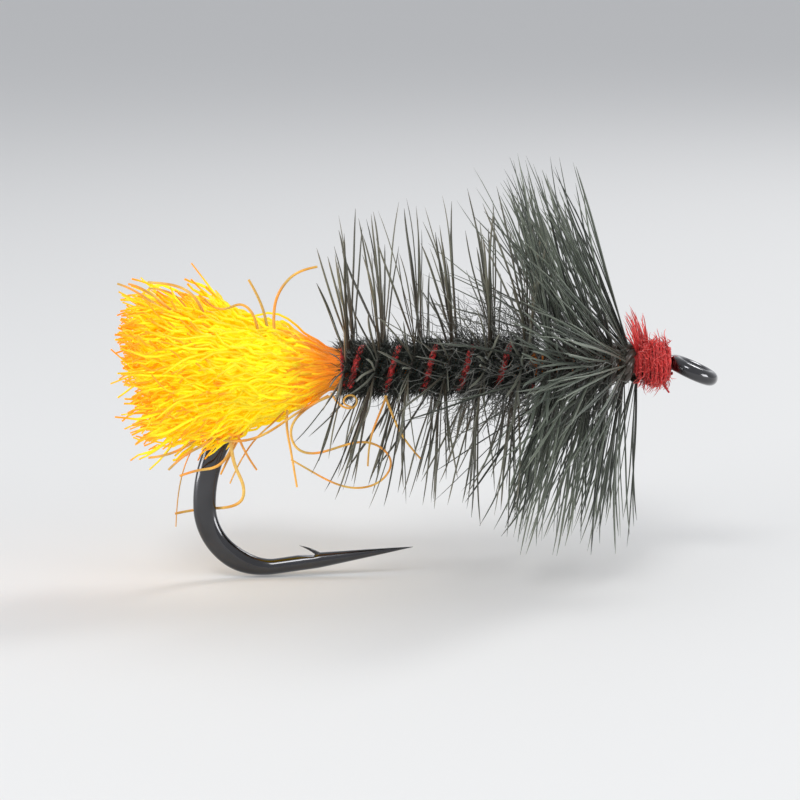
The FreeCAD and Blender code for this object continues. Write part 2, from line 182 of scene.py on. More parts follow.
class GeometryGraph(Graph):
    """A Geometry Nodes tree that grows strands: many alike curves with points from root to tip."""

    def __init__(self, name: str) -> None:
        """Starts a new tree whose only output is its geometry."""
        super().__init__(bpy.data.node_groups.new(name, "GeometryNodeTree"))
        self.tree.interface.new_socket("Geometry", in_out="OUTPUT", socket_type="NodeSocketGeometry")
        self.inlet = self.node("NodeGroupInput")
        self.outlet = self.node("NodeGroupOutput")
        self.seed: Value = 0
        self.strand: Value = 0.0

    def given(self, name: str, default: Value, kind: str = "") -> Field:
        """Adds a named input to the tree and returns its value."""
        kind = kind or ("NodeSocketInt" if isinstance(default, int) else "NodeSocketFloat")
        item = self.tree.interface.new_socket(name, in_out="INPUT", socket_type=kind)
        if default is not None:
            item.default_value = default
        return Field(self, self.inlet.outputs[name])

    def chance(self, low: float, high: float, salt: int) -> Field:
        """A random number for each strand, the same at all its points."""
        inputs = {2: low, 3: high, 7: self.strand, 8: self.seed + salt}
        return Field(self, self.node("FunctionNodeRandomValue", inputs, data_type="FLOAT").outputs[1])

    def swing(self, salt: int) -> Field:
        """A random number for each strand between -1 and 1 that is mostly near 0."""
        return self.chance(-0.5, 0.5, salt) + self.chance(-0.5, 0.5, salt + 1)

    def bed(self, count: Value, points: Value, seed: Value) -> tuple[bpy.types.NodeSocket, Field, Field]:
        """Lays down the strands as straight lines.

        Args:
            count: how many strands there are.
            points: how many points each strand has.
            seed: what the random numbers start from.

        Returns:
            The strands, the number of the strand that a point is on, and its place along it from 0 to 1.
        """
        line = self.node("GeometryNodeCurvePrimitiveLine")
        strand = self.node("GeometryNodeResampleCurve", {"Curve": line.outputs[0], "Count": points})
        roots = self.node("GeometryNodePoints", {"Count": count})
        copies = self.node("GeometryNodeInstanceOnPoints",
                           {"Points": roots.outputs[0], "Instance": strand.outputs[0]})
        real = self.node("GeometryNodeRealizeInstances", {"Geometry": copies.outputs[0]})
        index = Field(self, self.node("GeometryNodeInputIndex").outputs[0])
        self.seed = seed
        self.strand = self.math("FLOOR", (index + 0.5) / points)
        along = (index - self.strand * points) / (points - 1.0)
        return real.outputs[0], self.strand, along

    def spin(self, strands: bpy.types.NodeSocket, place: Sequence[Value], radius: Value,
             marks: tuple[Field, Field], section: tuple[int, float], material: Field,
             tilt: Value = 0.0) -> None:
        """Bends the strands to their places, gives them a section and ends the tree.

        Args:
            strands: the straight strands.
            place: where each point goes, as three numbers in millimetres.
            radius: half the strand's width in millimetres.
            marks: the place along the strand and its tone, which the mesh keeps for its material.
            section: how many sides the section has, and its thickness over its width.
            material: the material to set.
            tilt: how far the section is turned about the strand.
        """
        spot = self.node("ShaderNodeCombineXYZ", {axis: value * MM for axis, value in enumerate(place)})
        shape = self.node("GeometryNodeSetPosition", {"Geometry": strands, "Position": spot.outputs[0]})
        shape = self.node("GeometryNodeSetCurveRadius", {"Curve": shape.outputs[0], "Radius": radius * MM})
        shape = self.node("GeometryNodeSetCurveTilt", {"Curve": shape.outputs[0], "Tilt": tilt})
        for name, value in zip(("along", "tone"), marks):
            shape = self.node("GeometryNodeStoreNamedAttribute",
                              {"Geometry": shape.outputs[0], "Name": name, "Value": value},
                              data_type="FLOAT", domain="POINT")
        sides, flatness = section
        circle = self.node("GeometryNodeCurvePrimitiveCircle", {"Resolution": sides, "Radius": 1.0})
        profile = self.node("GeometryNodeTransform",
                            {"Geometry": circle.outputs[0], "Scale": (1.0, flatness, 1.0)})
        mesh = self.node("GeometryNodeCurveToMesh", {"Curve": shape.outputs[0], "Fill Caps": True,
                                                     "Profile Curve": profile.outputs[0]})
        if "Scale" in mesh.inputs:
            self.feed(mesh.inputs["Scale"], self.node("GeometryNodeInputRadius").outputs[0])
        smooth = self.node("GeometryNodeSetShadeSmooth", {"Geometry": mesh.outputs[0]})
        real = self.node("GeometryNodeRealizeInstances", {"Geometry": smooth.outputs[0]})
        dressed = self.node("GeometryNodeSetMaterial", {"Geometry": real.outputs[0], "Material": material})
        self.feed(self.outlet.inputs[0], dressed.outputs[0])


@dataclass
class Growth:
    """Something that a node tree grows. Its fields are the tree's named inputs."""

    trees: ClassVar[dict[str, bpy.types.NodeTree]] = {}
    sides: ClassVar[int] = 4
    flatness: ClassVar[float] = 1.0
    tilts: ClassVar[tuple[float, float]] = (0.0, 3.14)

    def lay(self, graph: GeometryGraph, size: SimpleNamespace) -> None:
        """Builds the tree's own part, from the values of its inputs, which size holds by name."""
        raise NotImplementedError

    def tree(self) -> bpy.types.NodeTree:
        """The class's tree, built when it is first asked for."""
        name = type(self).__name__
        if name not in self.trees:
            graph = GeometryGraph(name)
            inputs = {f.name: graph.given(f.name, getattr(self, f.name)) for f in fields(self)}
            size = SimpleNamespace(**inputs, material=graph.given("material", None, "NodeSocketMaterial"))
            self.lay(graph, size)
            self.trees[name] = graph.tree
        return self.trees[name]

    def grow(self, name: str, material: bpy.types.Material) -> bpy.types.Object:
        """Runs the tree with this object's sizes.

        Args:
            name: the new piece's name.
            material: its material.

        Returns:
            The piece as a plain mesh.
        """
        host = place_object(name + "_growth", bpy.data.meshes.new(name + "_growth"))
        modifier = host.modifiers.new("growth", "NODES")
        modifier.node_group = self.tree()
        values = asdict(self) | {"material": material}
        for item in modifier.node_group.interface.items_tree:
            if item.in_out == "INPUT":
                modifier[item.identifier] = values[item.name]
        graph = bpy.context.evaluated_depsgraph_get()
        mesh = bpy.data.meshes.new_from_object(host.evaluated_get(graph), preserve_all_data_layers=True,
                                               depsgraph=graph)
        bpy.data.objects.remove(host)
        mesh.name = name
        return place_object(name, mesh)


def place_object(name: str, data: bpy.types.ID) -> bpy.types.Object:
    """Puts data into the scene as an object at the origin.

    Args:
        name: the object's name.
        data: its mesh, curve, light or camera.

    Returns:
        The object.
    """
    placed = bpy.data.objects.new(name, data)
    bpy.context.scene.collection.objects.link(placed)
    return placed


# ---------------------------------------------------------------- finishes


class ShaderGraph(Graph):
    """A material's tree, ending in one Principled shader."""

    def __init__(self, name: str) -> None:
        """Starts a new material with its shader and its output."""
        self.material = bpy.data.materials.new(name)
        self.material.use_nodes = True
        super().__init__(self.material.node_tree)
        self.shader = self.node("ShaderNodeBsdfPrincipled")
        self.node("ShaderNodeOutputMaterial", {"Surface": self.shader.outputs[0]})

    def mark(self, name: str) -> Field:
        """A number that the mesh carries."""
        return Field(self, self.node("ShaderNodeAttribute", attribute_name=name).outputs["Fac"])

    def ramp(self, place: Value, stops: Sequence[tuple[float, Colour]]) -> bpy.types.NodeSocket:
        """The colour at a place along a row of coloured stops."""
        node = self.node("ShaderNodeValToRGB", {"Fac": place})
        elements = node.color_ramp.elements
        while len(elements) < len(stops):
            elements.new(0.5)
        for element, (position, colour) in zip(elements, stops):
            element.position = position
            element.color = (*colour, 1.0)
        return node.outputs[0]

    def dim(self, colour: bpy.types.NodeSocket, brightness: Value) -> bpy.types.NodeSocket:
        """A colour made brighter or darker by a number."""
        grey = self.node("ShaderNodeCombineColor", {0: brightness, 1: brightness, 2: brightness})
        node = self.node("ShaderNodeMix", {0: 1.0, 6: colour, 7: grey.outputs[0]}, data_type="RGBA",
                         blend_type="MULTIPLY")
        return node.outputs[2]

    def grain(self, scale: float, detail: float, stretch: Spot = (1.0, 1.0, 1.0)) -> Field:
        """Fine noise from 0 to 1 that stays with the piece."""
        place = self.node("ShaderNodeTexCoord")
        spread = self.node("ShaderNodeMapping", {"Vector": place.outputs["Object"], "Scale": stretch})
        inputs = {"Vector": spread.outputs[0], "Scale": scale, "Detail": detail}
        return Field(self, self.node("ShaderNodeTexNoise", inputs).outputs[0])

    def bump(self, height: Value, depth: float, strength: float) -> None:
        """Raises the surface by a height between 0 and 1 times a depth in metres."""
        node = self.node("ShaderNodeBump", {"Height": height, "Distance": depth, "Strength": strength})
        self.feed(self.shader.inputs["Normal"], node.outputs[0])

    def set(self, **values: Value) -> None:
        """Sets the shader's inputs, named with underscores for spaces."""
        for name, value in values.items():
            self.feed(self.shader.inputs[name.replace("_", " ")], value)


@dataclass(frozen=True)
class PlatedWire:
    """Black nickel plate on forged steel: a dark mirror with faint drawing lines and handling marks."""

    colour: Colour = (0.045, 0.045, 0.049)
    dull: float = 0.8
    bright: float = 1.25
    roughness: float = 0.1
    smudging: float = 0.1
    streaking: float = 0.05
    line_depth: float = 0.000004

    def material(self) -> bpy.types.Material:
        """Makes the finish's material."""
        graph = ShaderGraph("black_nickel")
        smudge = graph.grain(900.0, 4.0)
        lines = graph.grain(2500.0, 2.0, (0.15, 1.0, 1.0))
        dull, bright = (tuple(c * share for c in self.colour) for share in (self.dull, self.bright))
        graph.set(Base_Color=graph.ramp(smudge, ((0.3, dull), (0.7, bright))), Metallic=1.0,
                  Roughness=self.roughness + smudge * self.smudging + lines * self.streaking,
                  Coat_Weight=1.0, Coat_Roughness=0.04)
        graph.bump(lines, self.line_depth, 0.25)
        return graph.material


@dataclass(frozen=True)
class Fibre:
    """Feather barbs, flue or yarn: colour runs from root to tip and differs from strand to strand."""

    name: str
    stops: tuple[tuple[float, Colour], ...]
    roughness: float = 0.45
    variety: float = 0.5
    sheen: float = 0.2
    sheen_tint: Colour = (0.8, 0.85, 0.8)
    # glow and glow_strength give an emission: painted glow from a fibre that is no lamp
    glow: Colour = (0.0, 0.0, 0.0)
    glow_strength: float = 0.0
    ripple: float = 0.3

    fleck_size: ClassVar[float] = 4000.0
    fleck_depth: ClassVar[float] = 0.00001
    stop_shift: ClassVar[float] = 0.12

    def material(self) -> bpy.types.Material:
        """Makes the finish's material."""
        graph = ShaderGraph(self.name)
        tone = graph.mark("tone")
        place = graph.mark("along") + (tone - 0.5) * self.stop_shift
        fleck = graph.grain(self.fleck_size, 2.0)
        colour = graph.ramp(place, self.stops)
        colour = graph.dim(colour, (tone - 0.5) * (2 * self.variety) + fleck * 0.3 + 0.85)
        # The emission set below is a painted glow.
        graph.set(Base_Color=colour, Roughness=self.roughness + (fleck - 0.5) * 0.2,
                  Sheen_Weight=self.sheen, Sheen_Tint=(*self.sheen_tint, 1.0), Sheen_Roughness=0.4,
                  Emission_Color=(*self.glow, 1.0), Emission_Strength=self.glow_strength)
        graph.bump(fleck, self.fleck_depth, self.ripple)
        return graph.material


@dataclass(frozen=True)
class Bench:
    """The pale matt card that the fly stands on."""

    colour: Colour = (0.8, 0.8, 0.79)
    tooth_depth: float = 0.00002

    def material(self) -> bpy.types.Material:
        """Makes the finish's material."""
        graph = ShaderGraph("pale_card")
        graph.set(Base_Color=(*self.colour, 1.0), Roughness=0.75, Specular_IOR_Level=0.25)
        graph.bump(graph.grain(1500.0, 3.0), self.tooth_depth, 0.1)
        return graph.material


class Finish(Enum):
    """The fly's finishes, by what they are on."""

    WIRE = PlatedWire()
    YARN = Fibre(
        "fluorescent_yarn",
        # The deep red-orange towards the root is painted shade where the fibres crowd at the tie.
        ((0.0, (0.6, 0.04, 0.006)), (0.09, (0.85, 0.11, 0.006)), (0.2, (1.0, 0.30, 0.004)),
         (0.34, (1.0, 0.82, 0.003)), (0.92, (1.0, 0.80, 0.004)), (0.98, (1.0, 0.48, 0.004)),
         (1.0, (1.0, 0.26, 0.004))),
        # The emission here is a painted glow standing in for the yarn's fluorescence.
        roughness=0.5, variety=0.2, sheen=0.15, sheen_tint=(1.0, 0.8, 0.2), glow=(1.0, 0.6, 0.0),
        glow_strength=0.2, ripple=0.2)
    STRAY = Fibre(
        "stray_yarn",
        ((0.0, (0.8, 0.34, 0.03)), (0.5, (0.62, 0.42, 0.10)), (1.0, (0.8, 0.25, 0.02))),
        # The stray fibres' emission is a painted glow.
        variety=0.25, sheen=0.3, sheen_tint=(1.0, 0.8, 0.4), glow=(1.0, 0.3, 0.0), glow_strength=0.07)
    THREAD = Fibre(
        "red_thread",
        ((0.0, (0.34, 0.008, 0.01)), (0.5, (0.58, 0.024, 0.024)), (1.0, (0.8, 0.10, 0.085))),
        roughness=0.4, variety=0.35, sheen=0.35, sheen_tint=(1.0, 0.6, 0.55), ripple=0.6)
    # The yarn's butt is the tail yarn's colour darkened to red-orange: painted shade where it lies under the
    # body.
    BUTT = Fibre("yarn_butt", ((0.0, (0.5, 0.09, 0.01)), (1.0, (0.75, 0.26, 0.01))), variety=0.3)
    BLACK_THREAD = Fibre("black_thread", ((0.0, (0.012, 0.012, 0.012)), (1.0, (0.02, 0.02, 0.02))),
                         variety=0.3)
    HERL = Fibre(
        "black_herl",
        ((0.0, (0.006, 0.006, 0.006)), (0.6, (0.012, 0.014, 0.012)), (1.0, (0.035, 0.038, 0.03))),
        roughness=0.4, variety=0.6, sheen=0.25, sheen_tint=(0.5, 0.65, 0.5))
    STEM = Fibre("hackle_stem", ((0.0, (0.03, 0.022, 0.015)), (1.0, (0.05, 0.035, 0.025))), roughness=0.3)
    BODY_HACKLE = Fibre(
        "body_hackle",
        ((0.0, (0.035, 0.022, 0.012)), (0.3, (0.058, 0.043, 0.027)), (0.65, (0.095, 0.096, 0.07)),
         (1.0, (0.12, 0.11, 0.085))),
        roughness=0.35, variety=0.7, sheen=0.3, sheen_tint=(0.7, 0.78, 0.66))
    COLLAR_HACKLE = Fibre(
        "collar_hackle",
        ((0.0, (0.016, 0.012, 0.008)), (0.22, (0.030, 0.030, 0.022)), (0.65, (0.072, 0.085, 0.064)),
         (1.0, (0.10, 0.11, 0.085))),
        roughness=0.33, variety=0.75, sheen=0.35, sheen_tint=(0.7, 0.82, 0.7))
    WEB = Fibre(
        "hackle_web",
        ((0.0, (0.03, 0.03, 0.025)), (0.5, (0.12, 0.125, 0.11)), (1.0, (0.2, 0.2, 0.18))),
        roughness=0.5, sheen=0.4, sheen_tint=(0.9, 0.92, 0.88))
    CARD = Bench()


PALETTE: dict[Finish, bpy.types.Material] = {}


def paint(finish: Finish) -> bpy.types.Material:
    """The material of a finish, made when it is first asked for."""
    if finish not in PALETTE:
        PALETTE[finish] = finish.value.material()
    return PALETTE[finish]


# ---------------------------------------------------------------- putting pieces on the fly


def mount(piece: bpy.types.Object, slot: str, *nodes: str) -> None:
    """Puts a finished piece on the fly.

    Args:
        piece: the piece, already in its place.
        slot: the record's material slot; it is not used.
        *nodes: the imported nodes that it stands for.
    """
    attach(piece, ROOT)
    if nodes:
        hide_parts(*nodes)
    stands_for = ", ".join(nodes) or "the look alone"
    LOG.info("%s: %d faces, for %s", piece.name, len(piece.data.polygons), stands_for)


def solid(name: str, shells: Iterable[bmesh.types.BMesh], material: bpy.types.Material) -> bpy.types.Object:
    """Makes one smooth piece out of closed shells.

    Args:
        name: the piece's name.
        shells: the shells, in millimetres. They are used up.
        material: the material.

    Returns:
        The piece.
    """
    mesh = bpy.data.meshes.new(name)
    whole = bmesh.new()
    for shell in shells:
        bmesh.ops.recalc_face_normals(shell, faces=shell.faces)
        part = bpy.data.meshes.new("shell")
        shell.to_mesh(part)
        whole.from_mesh(part)
        shell.free()
        bpy.data.meshes.remove(part)
    bmesh.ops.scale(whole, vec=(MM, MM, MM), verts=whole.verts)
    for face in whole.faces:
        face.smooth = True
    whole.to_mesh(mesh)
    whole.free()
    mesh.materials.append(material)
    return place_object(name, mesh)


def skin(rings: Sequence[Sequence[Vector]], closed: bool = False) -> bmesh.types.BMesh:
    """A shell through rings of points, capped at its ends or joined up.

    Args:
        rings: the rings, each with as many points as the next.
        closed: whether the last ring joins the first.

    Returns:
        The shell.
    """
    shell = bmesh.new()
    loops = [[shell.verts.new(point) for point in ring] for ring in rings]
    pairs = list(zip(loops, loops[1:])) + ([(loops[-1], loops[0])] if closed else [])
    for one, other in pairs:
        for k in range(len(one)):
            n = (k + 1) % len(one)
            shell.faces.new((one[k], one[n], other[n], other[k]))
    if not closed:
        shell.faces.new(loops[0])
        shell.faces.new(loops[-1])
    return shell


# ---------------------------------------------------------------- sizes taken from the frame


@dataclass(frozen=True)
class Shank:
    """Where things lie along the shank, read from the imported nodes, in millimetres."""

    height: float
    tail_front: float
    body_rear: float
    body_front: float
    collar_rear: float
    head_rear: float
    head_front: float

    rib_inset: ClassVar[float] = 0.07
    tie_gap: ClassVar[float] = 0.09

    @classmethod
    def measure(cls) -> "Shank":
        """Reads the sizes from the frame."""
        butt, binding, rib = (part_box(n) for n in ("tail_yarn_butt", "tail_binding", "rib_floss"))
        tie, head, whip = (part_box(n) for n in ("body_tie_off", "thread_head", "whip_finish"))
        return cls(
            height=(butt[0].z + butt[1].z) / 2 / MM,
            tail_front=binding[1].x / MM,
            body_rear=rib[0].x / MM + cls.rib_inset, body_front=rib[1].x / MM - cls.rib_inset,
            collar_rear=tie[1].x / MM + cls.tie_gap,
            head_rear=head[0].x / MM, head_front=whip[1].x / MM)


class Seed(IntEnum):
    """What each kind of strand starts its random numbers from, before its own number is added."""

    BINDING = 5
    YARN_BUTT = 12
    QUILL_STUB = 13
    HERL = 20
    FLUE = 30
    RIB = 50
    BODY_STEM = 60
    BODY_BARBS = 70
    COLLAR_STEM = 80
    COLLAR_BARBS = 90
    PLY = 100
    WEB = 140
    HEAD = 150
    HEAD_FUZZ = 160
    FLOSS_STUBS = 170
    FLYAWAYS = 200


# ---------------------------------------------------------------- things that grow


@dataclass
class Barbs(Growth):
    """Barbs, flue or fuzz that stand on a stem wound round the shank.

    Each of shakes is one direction's step through the noise from barb to barb, and its start in it.
    """

    count: int = 60
    points: int = 12
    seed: int = 1
    height: float = 0.0
    rear: float = 0.0
    front: float = 1.0
    turns: float = 1.0
    phase: float = 0.0
    root: float = 0.5
    length: float = 5.0
    length_spread: float = 0.25
    belly: float = 0.0
    lean: float = 0.2
    lean_up: float = 0.0
    lean_side: float = 0.0
    lean_spread: float = 0.15
    clump: float = 0.1
    stray: float = 0.5
    swing: float = 0.12
    curl: float = 0.1
    wobble: float = 0.1
    pitch: float = 0.4
    thickness: float = 0.045

    sides: ClassVar[int] = 5
    flatness: ClassVar[float] = 0.55
    crowding: ClassVar[tuple[float, float]] = (-0.45, 0.45)
    curls: ClassVar[tuple[float, float]] = (-0.5, 1.0)
    widths: ClassVar[tuple[float, float]] = (0.7, 1.15)
    tuft_step: ClassVar[float] = 0.37
    parting_step: ClassVar[float] = 0.29
    rarity: ClassVar[float] = 14.0
    narrowing: ClassVar[float] = 0.45
    foot_width: ClassVar[float] = 0.45
    tip_width: ClassVar[float] = 0.08
    shakes: ClassVar[tuple[tuple[float, float], ...]] = ((1.7, 0.0), (1.9, 90.0), (2.3, 50.0))

    def lay(self, graph: GeometryGraph, size: SimpleNamespace) -> None:
        """Builds the tree: each barb leaves the stem outwards, leans back, bends and tapers."""
        strands, strand, along = graph.bed(size.count, size.points, size.seed)
        share = (strand + 0.5 + graph.chance(*self.crowding, 1)) / size.count
        turn = size.phase - share * size.turns * TAU
        away, down = graph.sin(turn), graph.cos(turn)
        length = (size.length * (1.0 - size.length_spread * graph.chance(0.0, 1.0, 2))
                  * (1.0 - size.belly * graph.math("MAXIMUM", down, 0.0)))
        rare = graph.chance(0.0, 1.0, 3) ** self.rarity
        tuft = graph.noise(strand * self.tuft_step, size.seed * 3.7)
        lean = (size.lean - size.lean_up * down + size.lean_side * away * away
                + size.lean_spread * graph.swing(4) + size.stray * rare + size.clump * tuft)
        parting = graph.noise(strand * self.parting_step, size.seed * 1.3 + 40.0)
        sway = size.swing * graph.swing(6) + size.clump * parting
        bend = size.curl * graph.chance(*self.curls, 8) * along * along
        reach = along * length
        wave = reach * size.pitch + graph.chance(0.0, 50.0, 9)
        amount = size.wobble * along
        rise, fall, slip = (graph.noise(wave, strand * step + start) * amount for step, start in self.shakes)
        out = size.root + reach * graph.cos(lean) + rise
        back = reach * (graph.sin(lean) + bend) + fall
        aside = reach * (graph.sin(sway) + bend * graph.swing(10)) + slip
        place = (size.rear + (size.front - size.rear) * share - back, away * out + down * aside,
                 size.height - down * out + away * aside)
        width = size.thickness * graph.chance(*self.widths, 12)
        swell = (1.0 - along) ** self.narrowing * (along + self.foot_width)
        taper = graph.math("MAXIMUM", swell, self.tip_width)
        graph.spin(strands, place, width * taper, (along, graph.chance(0.0, 1.0, 13)),
                   (self.sides, self.flatness), size.material, graph.chance(*self.tilts, 14))


@dataclass
class YarnPly(Growth):
    """One ply of the tail: crimped fibres that leave the binding together and flare into a brush.

    Each of waves is one direction's step through the noise from fibre to fibre, and its start in it.
    """

    count: int = 300
    points: int = 25
    seed: int = 1
    height: float = 0.0
    tie: float = -11.5
    angle: float = 0.0
    spread: float = 1.0
    length: float = 6.6
    length_spread: float = 3.0
    rise: float = 0.004
    tie_radius: float = 0.64
    flare: float = 0.57
    flare_ease: float = 0.067
    crimp: float = 0.28
    crimp_pitch: float = 1.7
    curl: float = 1.1
    frizz: float = 0.0
    droop: float = 0.0
    thickness: float = 0.06

    sides: ClassVar[int] = 5
    flatness: ClassVar[float] = 0.85
    bound: ClassVar[float] = 0.45
    stray_turn: ClassVar[float] = 0.35
    curls: ClassVar[tuple[float, float]] = (-0.25, 1.0)
    widths: ClassVar[tuple[float, float]] = (0.75, 1.15)
    loosening: ClassVar[tuple[float, float]] = (0.12, 0.7)
    back_share: ClassVar[float] = 0.6
    tip_ease: ClassVar[float] = 24.0
    tip_width: ClassVar[float] = 0.6
    waves: ClassVar[tuple[tuple[float, float], ...]] = ((1.7, 0.0), (2.1, 70.0), (2.9, 30.0))

    def lay(self, graph: GeometryGraph, size: SimpleNamespace) -> None:
        """Builds the tree: a fibre keeps its place in the tuft, crimped, with a curl at its tip."""
        strands, strand, along = graph.bed(size.count, size.points, size.seed)
        spoke = size.angle + size.spread * graph.chance(-0.5, 0.5, 1)
        depth = graph.chance(0.0, 1.0, 2) ** 0.5
        length = size.length - size.length_spread * graph.chance(0.0, 1.0, 3)
        gone = along * length
        behind = graph.math("MAXIMUM", gone - self.bound, 0.0)
        tuft = size.tie_radius + size.flare * behind - size.flare_ease * behind * behind
        spoke = spoke + graph.swing(4) * self.stray_turn * along
        wave = gone * size.crimp_pitch + graph.chance(0.0, 60.0, 6)
        bound_share, gain = self.loosening
        loose = graph.math("MINIMUM", behind * gain + bound_share, 1.0)
        amount = (size.crimp + size.frizz * graph.chance(0.0, 1.0, 7) ** 3.0) * loose
        end = size.curl * along ** 4.0
        aside, out, back = (graph.noise(wave, strand * step + start) * amount for step, start in self.waves)
        across = aside + graph.swing(8) * end
        reach = tuft * depth + (out + graph.chance(*self.curls, 10) * end)
        away, down = graph.sin(spoke), graph.cos(spoke)
        sag = size.droop * graph.chance(0.0, 1.0, 11) * along * along
        place = (size.tie - gone + back * self.back_share, away * reach + down * across,
                 size.height + size.rise * gone * gone - down * reach + away * across - sag)
        width = size.thickness * graph.chance(*self.widths, 12)
        taper = graph.math("MAXIMUM", 1.0 - along ** self.tip_ease, self.tip_width)
        graph.spin(strands, place, width * taper, (along, graph.chance(0.0, 1.0, 13)),
                   (self.sides, self.flatness), size.material, graph.chance(*self.tilts, 14))


@dataclass
class Winding(Growth):
    """Thread, floss, herl or stem wound round the shank as a strand of twisted plies."""

    plies: int = 1
    points: int = 400
    seed: int = 1
    height: float = 0.0
    rear: float = 0.0
    front: float = 1.0
    turns: float = 5.0
    phase: float = 0.0
    radius: float = 0.5
    swell: float = 0.0
    crest: float = 0.5
    lay_radius: float = 0.0
    twist: float = 0.0
    fan: float = 0.0
    wander: float = 0.0
    thickness: float = 0.05

    sides: ClassVar[int] = 8
    bumps_per_turn: ClassVar[float] = 1.7

    def lay(self, graph: GeometryGraph, size: SimpleNamespace) -> None:
        """Builds the tree: each ply circles the strand's path, and the path circles the shank."""
        strands, strand, along = graph.bed(size.plies, size.points, size.seed)
        turn = size.phase - along * size.turns * TAU + strand * size.fan
        ply = size.twist * TAU * along + strand * TAU / size.plies
        rise = graph.math("MINIMUM", along / size.crest, 1.0)
        fall = graph.math("MAXIMUM", (along - size.crest) / (1.0 - size.crest), 0.0)
        bulge = graph.sin(rise * (math.pi / 2)) * graph.cos(fall * (math.pi / 2))
        drift = along * size.turns * self.bumps_per_turn
        reach = (size.radius + size.swell * bulge + size.lay_radius * graph.cos(ply)
                 + size.wander * graph.noise(drift, size.seed * 1.1))
        place = (size.rear + (size.front - size.rear) * along + size.lay_radius * graph.sin(ply)
                 + size.wander * graph.noise(drift, size.seed * 1.3 + 20.0),
                 graph.sin(turn) * reach, size.height - graph.cos(turn) * reach)
        marks = tuple(graph.noise(along * rate, strand + start) * 0.5 + 0.5
                      for rate, start in ((40.0, 0.0), (90.0, 7.0)))
        graph.spin(strands, place, size.thickness, marks, (self.sides, self.flatness), size.material)


# ---------------------------------------------------------------- hook


